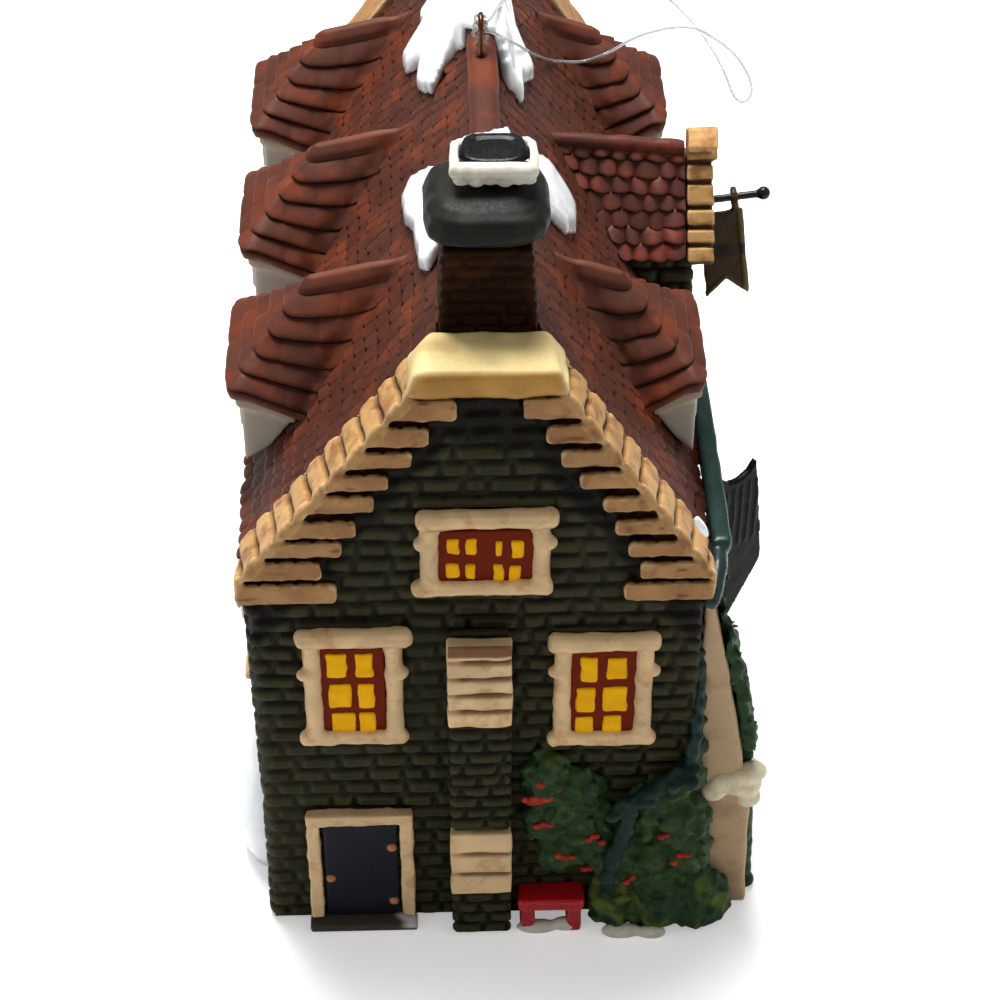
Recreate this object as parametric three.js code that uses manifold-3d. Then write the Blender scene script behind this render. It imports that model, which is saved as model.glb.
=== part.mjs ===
// A hanging village house ornament in painted porcelain: a brick house with a snowy shingle roof.
// Millimetres, +Z up. The origin is the middle of the footprint, at the underside.
// The gable end faces -Y. The street front, with its banner and its shield sign, faces +X.
import * as THREE from 'three';
import { mergeVertices } from 'three/addons/utils/BufferGeometryUtils.js';
import Module from 'manifold-3d';

const wasm = await Module();
wasm.setup();

// Driving dimensions of the cast house
const WALL_WIDTH = 46;
const HOUSE_LENGTH = 88;
const WALL_THICKNESS = 2.4;
const FLOOR_THICKNESS = 2.2;
const EAVE_HEIGHT = 50.8;
const RIDGE_HEIGHT = 83.2;
const RIDGE_OFFSET = 1.8;
const ROOF_THICKNESS = 1.6;
const EAVE_OVERHANG = 1;
const DRAIN_RADIUS = 4;
const DRAIN_FROM_MIDDLE = 22;

// The clearance between two pieces that touch
const SEAT = 0.3;

// Gable coping, kneelers and cap stone
const COPING_RISE = 1.8;
const COPING_OVERHANG = 0.9;
const COPING_PROUD = 1.2;
const COPING_DEPTH = 6.2;
const COPING_BLOCKS = 9;
const JOINT_WIDTH = 0.5;
const JOINT_DEPTH = 0.4;
const QUOIN_COUNT = 9;
const QUOIN_HEIGHT = 2.3;
const QUOIN_LENGTH = 5.6;
const QUOIN_GROWTH = 0.28;
const QUOIN_PROUD = 0.6;
const KNEELER_LENGTH = 10;
const CAP_DROP = 8.4;
const CAP_HEIGHT = 2.3;
const CAP_PROUD = 1.5;

// Ridge tiles
const RIDGE_TILE_WIDTH = 2.8;
const RIDGE_TILE_RISE = 1.2;

// Chimney
const STACK_WIDTH = 9.4;
const STACK_LENGTH = 8.6;
const STACK_TAPER = 0.45;
const STACK_RISE = 3.1;
const APRON_THICKNESS = 1.3;
const CHIMNEY_CAP_HEIGHT = 4.6;
const CHIMNEY_CAP_OVERHANG = 1.75;
const POT_WIDTH = 5.9;
const POT_LENGTH = 4.9;
const POT_HEIGHT = 2.7;
const POT_WALL = 0.7;
const POT_SETBACK = 1.2;
const RIM_SNOW_THICKNESS = 0.7;

// Gable windows
const WINDOW_WIDTH = 6.6;
const WINDOW_HEIGHT = 12.6;
const WINDOW_JAMB = 1.9;
const WINDOW_HEAD = 2.1;
const WINDOW_SILL = 1.2;
const WINDOW_PROUD = 1.2;
const WINDOW_LUG = 0.6;
const WINDOW_FROM_CORNER = 9.9;
const LEFT_SILL_DROP = 21.4;
const RIGHT_SILL_DROP = 22.5;
const UPPER_WINDOW_WIDTH = 9.2;
const UPPER_WINDOW_HEIGHT = 7.2;
const UPPER_WINDOW_MIDDLE = 0.9;
const UPPER_SILL_DROP = 0.5;
const SASH_DEPTH = 0.8;
const SASH_BACK = 0.4;
const SASH_RIM = 0.6;
const GLAZING_BAR = 0.5;

// Brick pier on the gable
const PIER_WIDTH = 6.2;
const PIER_MIDDLE = 0.3;
const PIER_PROUD = 2.8;
const PIER_TOP_DROP = 6.4;
const STONE_DEPTH = 1.6;
const UPPER_STONES_HEIGHT = 11.6;
const UPPER_STONES_COUNT = 5;
const LOWER_STONES_BASE = 6.8;
const LOWER_STONES_HEIGHT = 9.6;
const LOWER_STONES_COUNT = 3;

// Side door and its step
const DOOR_WIDTH = 8.7;
const DOOR_HEIGHT = 15.2;
const DOOR_JAMB = 1.5;
const DOOR_PROUD = 1.1;
const DOOR_FROM_CORNER = 10.1;
const STEP_HEIGHT = 0.9;
const STEP_DEPTH = 2.3;
const KNOB_RADIUS = 0.6;

// Garden bench and climbing plants
const BENCH_WIDTH = 7.1;
const BENCH_HEIGHT = 6.4;
const BENCH_DEPTH = 2.9;
const BENCH_SEAT = 1.8;
const BENCH_LEG = 1.3;
const BENCH_FROM_PIER = 1.1;
const PLANT_HEIGHT = 27.2;

// Swept stone buttress at the street corner
const BUTTRESS_REACH = 7.1;
const BUTTRESS_DEPTH = 5;
const BUTTRESS_SETBACK = 0.5;
const IVY_THICKNESS = 1.1;
const LEDGE_SNOW_THICKNESS = 0.9;

// Street gutter
const GUTTER_WIDTH = 2;
const GUTTER_HEIGHT = 2.4;
const GUTTER_DROP = 2.6;

// Dormers
const DORMER_FROM_FRONT = 24.4;
const DORMER_FROM_BACK = 12.8;
const DORMER_ROOF_WIDTH = 15.6;
const DORMER_BODY_WIDTH = 13.2;
const DORMER_EAVE_RISE = 11.2;
const DORMER_ROOF_RISE = 10.4;
const DORMER_FASCIA = 1.3;
const DORMER_HIP = 8.5;
const DORMER_RIDGE_FALL = 2.2;
const DORMER_TIP_OVERHANG = 1.8;
const RIGHT_DORMER_TIP_OVERHANG = 0.8;
const DORMER_FACE_SETBACK = 0.4;
const DORMER_WINDOW_WIDTH = 6;
const DORMER_WINDOW_HEIGHT = 4.4;

// Cross gable over the street door
const CROSS_WIDTH = 13.6;
const CROSS_PROUD = 2.2;
const CROSS_EAVE_RISE = 9;
const CROSS_ROOF_RISE = 10;
const CROSS_ROOF_THICKNESS = 0.9;
const CROSS_OVERHANG = 0.8;
const CROSS_COPING_WIDTH = 3;
const CROSS_COPING_RISE = 1.1;
const CROSS_CAP_WIDTH = 4.6;

// Street door and windows
const STREET_DOOR_WIDTH = 6.4;
const STREET_DOOR_HEIGHT = 14;
const STREET_WINDOW_FROM_MIDDLE = 20;
const LANE_WINDOW_FROM_END = 15;
const SHOP_WINDOW_WIDTH = 13;
const SHOP_WINDOW_HEIGHT = 9;
const SHOP_SILL = 6.5;

// Snow
const SNOW_THICKNESS = 1.1;
const DRIFT_REACH = 4.2;
const DRIFT_LENGTH = 13.6;
const DRIFT_HEIGHT = 17.5;
const DRIFT_FROM_FRONT = 12.6;

// Banner on its rod
const ROD_RADIUS = 0.45;
const ROD_DROP = 7.6;
const ROD_REACH = 9.8;
const ROD_RISE = 1.3;
const ROD_BALL_RADIUS = 0.8;
const ROD_SOCKET = 1.5;
const BANNER_WIDTH = 4.9;
const BANNER_HEIGHT = 11.4;
const BANNER_NOTCH = 2.4;
const BANNER_THICKNESS = 0.6;
const BANNER_FROM_WALL = 0.9;
const EYE_WALL = 0.5;
const EYE_WIDTH = 0.7;
const SWING_CLEARANCE = 0.3;

// Shield sign on its upright pin
const SIGN_FROM_FRONT = 17.5;
const SIGN_PIN_RADIUS = 0.4;
const SIGN_PIN_STANDOFF = 1.5;
const SIGN_ANGLE = 38;
const SIGN_HEIGHT = 21.3;
const SIGN_TOP_WIDTH = 5.4;
const SIGN_FLARE_WIDTH = 9;
const SIGN_MIDDLE = 5.1;
const SIGN_THICKNESS = 0.8;
const SIGN_BELOW_GUTTER = 0.7;
const SIGN_ARM_HEIGHT = 0.8;

// Wire hanger and its thread
const HANGER_WIRE_RADIUS = 0.3;
const HANGER_SPREAD = 2.3;
const HANGER_HEIGHT = 5.4;
const HANGER_FROM_MIDDLE = 1.6;
const THREAD_DIAMETER = 0.35;

// Places that follow from the driving dimensions
const wallX = WALL_WIDTH / 2;
const front = -HOUSE_LENGTH / 2;
const back = HOUSE_LENGTH / 2;
const eaveX = wallX + EAVE_OVERHANG;
const slopeLeft = (RIDGE_HEIGHT - EAVE_HEIGHT) / (wallX + RIDGE_OFFSET);
const slopeRight = (RIDGE_HEIGHT - EAVE_HEIGHT) / (wallX - RIDGE_OFFSET);
const stretchLeft = Math.hypot(1, slopeLeft);
const stretchRight = Math.hypot(1, slopeRight);
const copingBack = front - COPING_PROUD + COPING_DEPTH;
const rearCopingFront = back + COPING_PROUD - COPING_DEPTH;
const capBottom = RIDGE_HEIGHT - CAP_DROP;
const capTop = capBottom + CAP_HEIGHT;
const FAR = 200;

// Colours and finishes
function paint(color, roughness, metalness = 0) {
  return new THREE.MeshStandardMaterial({ color, roughness, metalness });
}
const brick = () => paint('#3f3d2f', 0.75);
const shingle = () => paint('#5c2c25', 0.7);
const stone = () => paint('#c59a6a', 0.6);
const paleStone = () => paint('#d3b795', 0.55);
const bisque = () => paint('#bdb6ac', 0.6);
const sashPaint = () => paint('#c9821a', 0.45);
const darkWood = () => paint('#171923', 0.45);
const greyStone = () => paint('#35332c', 0.5);
const foliage = () => paint('#2b4a33', 0.55);
const teal = () => paint('#2c4a46', 0.5);
const redPaint = () => paint('#b5141b', 0.4);
const snowGlaze = () => paint('#f3f6f8', 0.15);
const blackMetal = () => paint('#17160f', 0.4, 0.4);
const bannerPaint = () => paint('#4a3517', 0.45, 0.3);
const bronzeWire = () => paint('#2f160c', 0.4, 0.7);
const nylon = () => paint('#d9dddd', 0.15);

// A closed geometry as a solid that can be cut and joined
function solid(geometry) {
  const bare = geometry.clone();
  bare.deleteAttribute('normal');
  bare.deleteAttribute('uv');
  const merged = mergeVertices(bare, 1e-4);
  return new wasm.Manifold(new wasm.Mesh({
    numProp: 3,
    vertProperties: new Float32Array(merged.attributes.position.array),
    triVerts: new Uint32Array(merged.index.array),
  }));
}

function join(...solids) {
  return solids.reduce((whole, next) => whole.add(next));
}

function cut(body, ...tools) {
  return tools.reduce((rest, tool) => rest.subtract(tool), body);
}

// A block between two corners
function block(x0, x1, y0, y1, z0, z1) {
  const geometry = new THREE.BoxGeometry(x1 - x0, y1 - y0, z1 - z0);
  geometry.translate((x0 + x1) / 2, (y0 + y1) / 2, (z0 + z1) / 2);
  return solid(geometry);
}

function extruded(points, depth) {
  const shape = new THREE.Shape(points.map(([a, b]) => new THREE.Vector2(a, b)));
  return new THREE.ExtrudeGeometry(shape, { depth, bevelEnabled: false });
}

// An outline in x and z, from y0 to y1
function alongY(points, y0, y1) {
  const geometry = extruded(points, y1 - y0);
  geometry.rotateX(Math.PI / 2);
  geometry.translate(0, y1, 0);
  return solid(geometry);
}

// An outline in y and z, from x0 to x1
function alongX(points, x0, x1) {
  const geometry = extruded(points, x1 - x0);
  const turn = new THREE.Matrix4().makeBasis(
    new THREE.Vector3(0, 1, 0), new THREE.Vector3(0, 0, 1), new THREE.Vector3(1, 0, 0));
  geometry.applyMatrix4(turn);
  geometry.translate(x0, 0, 0);
  return solid(geometry);
}

// An outline in x and y, from z0 to z1
function alongZ(points, z0, z1) {
  const geometry = extruded(points, z1 - z0);
  geometry.translate(0, 0, z0);
  return solid(geometry);
}

// A round bar from one point to another
function bar(from, to, radius, sides = 12) {
  const start = new THREE.Vector3(...from);
  const end = new THREE.Vector3(...to);
  const geometry = new THREE.CylinderGeometry(radius, radius, start.distanceTo(end), sides);
  const turn = new THREE.Quaternion().setFromUnitVectors(
    new THREE.Vector3(0, 1, 0), end.clone().sub(start).normalize());
  geometry.applyQuaternion(turn);
  geometry.translate(...start.add(end).multiplyScalar(0.5).toArray());
  return solid(geometry);
}

// The round section of a wire or a thread
function roundSection(radius, sides = 8) {
  return new THREE.Shape(Array.from({ length: sides }, (_, i) => {
    const angle = (i / sides) * 2 * Math.PI;
    return new THREE.Vector2(radius * Math.cos(angle), radius * Math.sin(angle));
  }));
}

// An egg of three half sizes
function egg(x, y, z, a, b, c, around = 10, up = 6) {
  const geometry = new THREE.SphereGeometry(1, around, up);
  geometry.rotateX(Math.PI / 2);
  geometry.scale(a, b, c);
  geometry.translate(x, y, z);
  return solid(geometry);
}

// A body through rounded oblong rings, each with its half sizes a and b at a height
function lofted(rings, corners = 16) {
  const positions = [];
  const index = [];
  const ROUNDNESS = 0.55;
  rings.forEach(({ x = 0, y = 0, a, b, z }) => {
    for (let i = 0; i < corners; i += 1) {
      const angle = ((i + 0.5) / corners) * 2 * Math.PI;
      const c = Math.cos(angle);
      const s = Math.sin(angle);
      positions.push(x + a * Math.sign(c) * Math.abs(c) ** ROUNDNESS,
        y + b * Math.sign(s) * Math.abs(s) ** ROUNDNESS, z);
    }
  });
  for (let r = 0; r < rings.length - 1; r += 1) {
    for (let i = 0; i < corners; i += 1) {
      const j = (i + 1) % corners;
      const low = r * corners;
      const high = low + corners;
      index.push(low + i, low + j, high + j, low + i, high + j, high + i);
    }
  }
  const top = (rings.length - 1) * corners;
  for (let i = 1; i < corners - 1; i += 1) {
    index.push(0, i + 1, i, top, top + i, top + i + 1);
  }
  const geometry = new THREE.BufferGeometry();
  geometry.setAttribute('position', new THREE.Float32BufferAttribute(positions, 3));
  geometry.setIndex(index);
  return solid(geometry);
}

const house = new THREE.Group();

// A named piece of the ornament, in the group that places it
function piece(name, body, material, group = house) {
  const { numProp, vertProperties, triVerts } = body.getMesh();
  const positions = new Float32Array((vertProperties.length / numProp) * 3);
  for (let i = 0; i < positions.length / 3; i += 1) {
    positions.set(vertProperties.subarray(i * numProp, i * numProp + 3), i * 3);
  }
  const geometry = new THREE.BufferGeometry();
  geometry.setAttribute('position', new THREE.BufferAttribute(positions, 3));
  geometry.setIndex(new THREE.BufferAttribute(new Uint32Array(triVerts), 1));
  geometry.computeVertexNormals();
  const mesh = new THREE.Mesh(geometry, material);
  mesh.name = name;
  group.add(mesh);
  return mesh;
}

// A group that stands at a place, turned about the upright
function placed(x, y, z, turn = 0) {
  const group = new THREE.Group();
  group.position.set(x, y, z);
  group.rotation.z = turn;
  house.add(group);
  return group;
}

// The height of the roof's upper face above x, raised squarely by an offset
function roofTop(x, offset = 0) {
  return x < RIDGE_OFFSET
    ? RIDGE_HEIGHT - slopeLeft * (RIDGE_OFFSET - x) + offset * stretchLeft
    : RIDGE_HEIGHT - slopeRight * (x - RIDGE_OFFSET) + offset * stretchRight;
}

// The x where a slope, raised squarely by an offset, has a height
function slopeX(side, z, offset = 0) {
  return side < 0
    ? RIDGE_OFFSET - (RIDGE_HEIGHT + offset * stretchLeft - z) / slopeLeft
    : RIDGE_OFFSET + (RIDGE_HEIGHT + offset * stretchRight - z) / slopeRight;
}

// The height where the two raised slopes meet, and the x of that meeting
function apex(offset) {
  const x = RIDGE_OFFSET + (offset * (stretchRight - stretchLeft)) / (slopeLeft + slopeRight);
  return [x, RIDGE_HEIGHT - slopeLeft * (RIDGE_OFFSET - x) + offset * stretchLeft];
}

function slopeHeight(side, x, offset) {
  return side < 0
    ? RIDGE_HEIGHT - slopeLeft * (RIDGE_OFFSET - x) + offset * stretchLeft
    : RIDGE_HEIGHT - slopeRight * (x - RIDGE_OFFSET) + offset * stretchRight;
}

// The roof as one filled wedge, grown by a clearance
function roofWedge(clearance) {
  const edge = eaveX + clearance;
  return alongY([
    [-edge, slopeHeight(-1, -edge, -ROOF_THICKNESS) - clearance],
    [edge, slopeHeight(1, edge, -ROOF_THICKNESS) - clearance],
    [edge, slopeHeight(1, edge, clearance)],
    apex(clearance),
    [-edge, slopeHeight(-1, -edge, clearance)],
  ], -FAR, FAR);
}

// The whole house as one filled outline, grown by a clearance, for pieces that stand against it
function houseMass(clearance) {
  const side = wallX + clearance;
  const walls = block(-side, side, -FAR, FAR, -FAR, EAVE_HEIGHT);
  return join(walls, roofWedge(clearance));
}
const seatedHouse = houseMass(SEAT);

// Cast walls with floor and both gables
const wallTop = -ROOF_THICKNESS - SEAT;
const capUnderside = capBottom - SEAT;
{
  const shell = alongY([
    [-wallX, 0],
    [wallX, 0],
    [wallX, slopeHeight(1, wallX, wallTop)],
    apex(wallTop),
    [-wallX, slopeHeight(-1, -wallX, wallTop)],
  ], front, back);
  const inX = wallX - WALL_THICKNESS;
  const inside = block(-inX, inX, front + WALL_THICKNESS, back - WALL_THICKNESS, FLOOR_THICKNESS, FAR);
  const capSeat = block(-FAR, FAR, front - 1, front + WALL_THICKNESS + 1, capUnderside, FAR);
  const drainTop = FLOOR_THICKNESS + 1;
  const drain = bar([0, DRAIN_FROM_MIDDLE, -1], [0, DRAIN_FROM_MIDDLE, drainTop], DRAIN_RADIUS, 24);
  piece('house_walls', cut(shell, inside, capSeat, drain), brick());
}

// Chimney sizes that the roof is notched for
const stackMiddle = RIDGE_OFFSET - 0.35;
const stackLeft = stackMiddle - STACK_WIDTH / 2;
const stackRight = stackMiddle + STACK_WIDTH / 2;
const stackFront = copingBack + SEAT;
const stackBack = stackFront + STACK_LENGTH;
const stackTop = RIDGE_HEIGHT + STACK_RISE;
const apronBack = stackFront + APRON_THICKNESS;
const apronNotch = block(stackLeft - SEAT, stackRight + SEAT, -FAR, apronBack + SEAT, 0, FAR);

// Main roof, two slabs that meet at the ridge
[[-1, 'roof_left'], [1, 'roof_right']].forEach(([side, name]) => {
  const meet = RIDGE_OFFSET + (side * SEAT) / 2;
  const slab = alongY([
    [side * eaveX, slopeHeight(side, side * eaveX, 0)],
    [meet, slopeHeight(side, meet, 0)],
    [meet, slopeHeight(side, meet, -ROOF_THICKNESS)],
    [side * eaveX, slopeHeight(side, side * eaveX, -ROOF_THICKNESS)],
  ], copingBack + SEAT, rearCopingFront - SEAT);
  piece(name, cut(slab, apronNotch), shingle());
});

// The ridge tiles' section, grown by a clearance, with its underside at an offset from the slopes
function ridgeTileOutline(clearance, underside = SEAT) {
  const half = RIDGE_TILE_WIDTH / 2 + clearance;
  const top = RIDGE_HEIGHT + RIDGE_TILE_RISE + clearance;
  const lowLeft = slopeHeight(-1, RIDGE_OFFSET - half, underside);
  const lowRight = slopeHeight(1, RIDGE_OFFSET + half, underside);
  return [
    [RIDGE_OFFSET - half, lowLeft],
    apex(underside),
    [RIDGE_OFFSET + half, lowRight],
    [RIDGE_OFFSET + half, top - RIDGE_TILE_RISE / 2],
    [RIDGE_OFFSET + half / 2, top],
    [RIDGE_OFFSET - half / 2, top],
    [RIDGE_OFFSET - half, top - RIDGE_TILE_RISE / 2],
  ];
}
const hangerX = RIDGE_OFFSET - 0.1;
const hangerFeet = [HANGER_FROM_MIDDLE - HANGER_SPREAD / 2, HANGER_FROM_MIDDLE + HANGER_SPREAD / 2];
const hangerHole = HANGER_WIRE_RADIUS + SEAT;
const hangerFootTop = RIDGE_HEIGHT + RIDGE_TILE_RISE;
{
  const tiles = alongY(ridgeTileOutline(0), stackBack + SEAT, rearCopingFront - SEAT);
  const holes = hangerFeet.map((y) => bar(
    [hangerX, y, RIDGE_HEIGHT - 2], [hangerX, y, hangerFootTop + 1], hangerHole, 10));
  piece('ridge_tiles', cut(tiles, ...holes), shingle());
}

// Coping stones up one rake, with the long stones under them and a joint between each two
const capLeft = slopeX(-1, capBottom + 0.4, COPING_RISE / stretchLeft);
const capRight = slopeX(1, capBottom + 0.4, COPING_RISE / stretchRight);

function copingOutline(side, innerX) {
  const outerX = side * (wallX + COPING_OVERHANG);
  const rise = COPING_RISE / (side < 0 ? stretchLeft : stretchRight);
  return [
    [outerX, slopeHeight(side, outerX, rise)],
    [innerX, slopeHeight(side, innerX, rise)],
    [innerX, slopeHeight(side, innerX, -ROOF_THICKNESS)],
    [outerX, slopeHeight(side, outerX, -ROOF_THICKNESS)],
  ];
}

// Cross grooves in a rake's upper face, between its stones
function rakeJoints(side, outerX, innerX, count, y0, y1, depth) {
  const rise = COPING_RISE / (side < 0 ? stretchLeft : stretchRight);
  const slope = (side < 0 ? slopeLeft : -slopeRight);
  const along = new THREE.Vector2(1, slope).normalize();
  const inward = new THREE.Vector2(slope, -1).normalize();
  return Array.from({ length: count - 1 }, (_, i) => {
    const x = outerX + ((innerX - outerX) * (i + 1)) / count;
    const z = slopeHeight(side, x, rise);
    const lip = 0.2;
    const half = (JOINT_WIDTH / 2) * (1 + lip / depth);
    return alongY([
      [x - along.x * half - inward.x * lip, z - along.y * half - inward.y * lip],
      [x + along.x * half - inward.x * lip, z + along.y * half - inward.y * lip],
      [x + inward.x * depth, z + inward.y * depth],
    ], y0, y1);
  });
}

[[-1, 'front_coping_left'], [1, 'front_coping_right']].forEach(([side, name]) => {
  const innerX = (side < 0 ? capLeft - SEAT : capRight + SEAT);
  const outerX = side * (wallX + COPING_OVERHANG);
  const y0 = front - COPING_PROUD;
  const rake = alongY(copingOutline(side, innerX), y0, copingBack);
  const lowest = slopeHeight(side, side * wallX, -ROOF_THICKNESS);
  const pitch = (capBottom - lowest) / QUOIN_COUNT;
  const faceFront = front - SEAT - QUOIN_PROUD;
  const stones = Array.from({ length: QUOIN_COUNT }, (_, i) => {
    const z0 = lowest + i * pitch;
    const z1 = z0 + QUOIN_HEIGHT;
    const rootX = i === 0 ? outerX : slopeX(side, z1, 0.9);
    const length = i === 0 ? KNEELER_LENGTH : QUOIN_LENGTH + QUOIN_GROWTH * (QUOIN_COUNT - i);
    const endX = rootX - side * length;
    return block(Math.min(rootX, endX), Math.max(rootX, endX), faceFront, front - SEAT, z0, z1);
  });
  const joints = rakeJoints(side, outerX, innerX, COPING_BLOCKS, y0 - 1, copingBack + 1, JOINT_DEPTH);
  piece(name, cut(join(rake, ...stones), ...joints), stone());
});

// The flat cap stone that the front coping runs up to
{
  const shoulder = capBottom + 0.4;
  const chamfer = capTop - shoulder;
  piece('front_cap_stone', alongY([
    [capLeft, capBottom],
    [capRight, capBottom],
    [capRight, shoulder],
    [capRight - chamfer / slopeRight, capTop],
    [capLeft + chamfer / slopeLeft, capTop],
    [capLeft, shoulder],
  ], front - CAP_PROUD, copingBack), paint('#dcc389', 0.5));
}

// Rear coping, one row over the whole gable
{
  const outerX = wallX + COPING_OVERHANG;
  const riseLeft = COPING_RISE / stretchLeft;
  const riseRight = COPING_RISE / stretchRight;
  const peak = apex((riseLeft + riseRight) / 2);
  const row = alongY([
    [-outerX, slopeHeight(-1, -outerX, -ROOF_THICKNESS)],
    apex(-ROOF_THICKNESS),
    [outerX, slopeHeight(1, outerX, -ROOF_THICKNESS)],
    [outerX, slopeHeight(1, outerX, riseRight)],
    peak,
    [-outerX, slopeHeight(-1, -outerX, riseLeft)],
  ], rearCopingFront, back + COPING_PROUD);
  const y0 = rearCopingFront - 1;
  const y1 = back + COPING_PROUD + 1;
  const joints = [
    ...rakeJoints(-1, -outerX, peak[0], COPING_BLOCKS + 2, y0, y1, JOINT_DEPTH),
    ...rakeJoints(1, outerX, peak[0], COPING_BLOCKS + 2, y0, y1, JOINT_DEPTH),
  ];
  piece('rear_coping', cut(row, ...joints), stone());
}

// Chimney stack: it straddles the ridge, and its front apron comes down behind the cap stone
{
  const saddle = alongY([
    [stackLeft, slopeHeight(-1, stackLeft, SEAT)],
    apex(SEAT),
    [stackRight, slopeHeight(1, stackRight, SEAT)],
    [stackRight - STACK_TAPER, stackTop],
    [stackLeft + STACK_TAPER, stackTop],
  ], stackFront, stackBack);
  const apron = alongY([
    [stackLeft, capBottom],
    [stackRight, capBottom],
    [stackRight, slopeHeight(1, stackRight, SEAT) + 0.1],
    [stackRight - STACK_TAPER, stackTop],
    [stackLeft + STACK_TAPER, stackTop],
    [stackLeft, slopeHeight(-1, stackLeft, SEAT) + 0.1],
  ], stackFront, apronBack);
  piece('chimney_stack', join(saddle, apron), paint('#2b1c12', 0.7));
}

// Bulging chimney cap
const stackCentreY = (stackFront + stackBack) / 2;
const chimneyCapFoot = stackTop + SEAT;
const chimneyCapTop = chimneyCapFoot + CHIMNEY_CAP_HEIGHT;
{
  const a = STACK_WIDTH / 2 - STACK_TAPER;
  const b = STACK_LENGTH / 2;
  const rings = [[0, 0], [0.12, 0.45], [0.3, 0.95], [0.55, 1], [0.75, 0.75], [0.9, 0.25], [1, -0.5]];
  piece('chimney_cap', lofted(rings.map(([rise, swell]) => ({
    x: stackMiddle,
    y: stackCentreY,
    a: a + swell * CHIMNEY_CAP_OVERHANG,
    b: b + swell * CHIMNEY_CAP_OVERHANG,
    z: chimneyCapFoot + rise * CHIMNEY_CAP_HEIGHT,
  }))), greyStone());
}

// Oblong chimney pot, hollow from above, with snow round its rim
const potX = stackMiddle + 0.7;
const potY = stackCentreY + POT_SETBACK;
const potFoot = chimneyCapTop + SEAT;
const potTop = potFoot + POT_HEIGHT;
const potRing = (grow, z) => ({ x: potX, y: potY, a: POT_WIDTH / 2 + grow, b: POT_LENGTH / 2 + grow, z });
{
  const body = lofted([
    potRing(-0.35, potFoot),
    potRing(-0.35, potFoot + POT_HEIGHT * 0.25),
    potRing(-0.15, potFoot + POT_HEIGHT * 0.4),
    potRing(0, potTop),
  ]);
  const bore = lofted([potRing(-POT_WALL - 0.2, potTop - POT_HEIGHT * 0.7), potRing(-POT_WALL, potTop + 1)]);
  piece('chimney_pot', cut(body, bore), greyStone());
  const collar = lofted([
    potRing(SEAT + RIM_SNOW_THICKNESS * 0.7, potTop - 1.9),
    potRing(SEAT + RIM_SNOW_THICKNESS, potTop - 1.2),
    potRing(SEAT + RIM_SNOW_THICKNESS * 0.6, potTop + 0.3),
  ]);
  const throat = lofted([potRing(SEAT, potTop - 3), potRing(SEAT, potTop + 2)]);
  const backClear = block(potX - FAR, potX + FAR, potY + POT_LENGTH * 0.3, potY + FAR, 0, FAR);
  const scallops = [-0.5, 0, 0.5].map((share) => bar(
    [potX + share * POT_WIDTH, potY - FAR / 10, potTop - 2.1],
    [potX + share * POT_WIDTH, potY, potTop - 2.1], 0.55, 8));
  piece('pot_snow', cut(collar, throat, backClear, ...scallops), snowGlaze());
}

// A stone window surround that faces -Y, its opening's sill at the group's height
function windowFrame({ width, height, jamb, head, sill, proud, lug }) {
  const inner = width / 2;
  const outer = inner + jamb;
  const y1 = -SEAT;
  const parts = [
    block(-outer - lug, outer + lug, y1 - proud - 0.3, y1, height, height + head),
    block(-outer - lug, outer + lug, y1 - proud - 0.5, y1, -sill, 0),
    block(-outer, -inner, y1 - proud, y1, -sill / 2, height + head / 2),
    block(inner, outer, y1 - proud, y1, -sill / 2, height + head / 2),
  ];
  if (lug > 0) {
    parts.push(block(-outer - lug, -inner, y1 - proud - 0.2, y1, height * 0.62, height * 0.82));
    parts.push(block(inner, outer + lug, y1 - proud - 0.2, y1, height * 0.62, height * 0.82));
  }
  return join(...parts);
}

// Sash, glazing bars and panes, one moulding that fills the surround
function windowSash({ width, height, columns, rows }) {
  const half = width / 2 - SEAT;
  const low = SEAT;
  const high = height - SEAT;
  const y1 = -SEAT;
  const y0 = y1 - SASH_DEPTH;
  const parts = [
    block(-half, half, y1 - SASH_BACK, y1, low, high),
    block(-half, -half + SASH_RIM, y0, y1, low, high),
    block(half - SASH_RIM, half, y0, y1, low, high),
    block(-half, half, y0, y1, low, low + SASH_RIM),
    block(-half, half, y0, y1, high - SASH_RIM, high),
  ];
  for (let i = 1; i < columns; i += 1) {
    const x = -half + (2 * half * i) / columns;
    parts.push(block(x - GLAZING_BAR / 2, x + GLAZING_BAR / 2, y0, y1, low, high));
  }
  for (let i = 1; i < rows; i += 1) {
    const z = low + ((high - low) * i) / rows;
    parts.push(block(-half, half, y0, y1, z - GLAZING_BAR / 2, z + GLAZING_BAR / 2));
  }
  return join(...parts);
}

// The three gable windows, each a surround and a sash
const gableWindow = {
  width: WINDOW_WIDTH, height: WINDOW_HEIGHT, jamb: WINDOW_JAMB, head: WINDOW_HEAD,
  sill: WINDOW_SILL, proud: WINDOW_PROUD, lug: WINDOW_LUG, columns: 2, rows: 3,
};
const upperWindow = {
  ...gableWindow, width: UPPER_WINDOW_WIDTH, height: UPPER_WINDOW_HEIGHT, jamb: 1.7, columns: 4, rows: 2,
};
[
  ['left_window', gableWindow, -wallX + WINDOW_FROM_CORNER, EAVE_HEIGHT - LEFT_SILL_DROP],
  ['right_window', gableWindow, wallX - WINDOW_FROM_CORNER, EAVE_HEIGHT - RIGHT_SILL_DROP],
  ['upper_window', upperWindow, UPPER_WINDOW_MIDDLE, EAVE_HEIGHT - UPPER_SILL_DROP],
].forEach(([name, sizes, x, z]) => {
  const group = placed(x, front, z);
  piece(`${name}_frame`, windowFrame(sizes), paleStone(), group);
  piece(`${name}_sash`, windowSash(sizes), sashPaint(), group);
});

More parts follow.
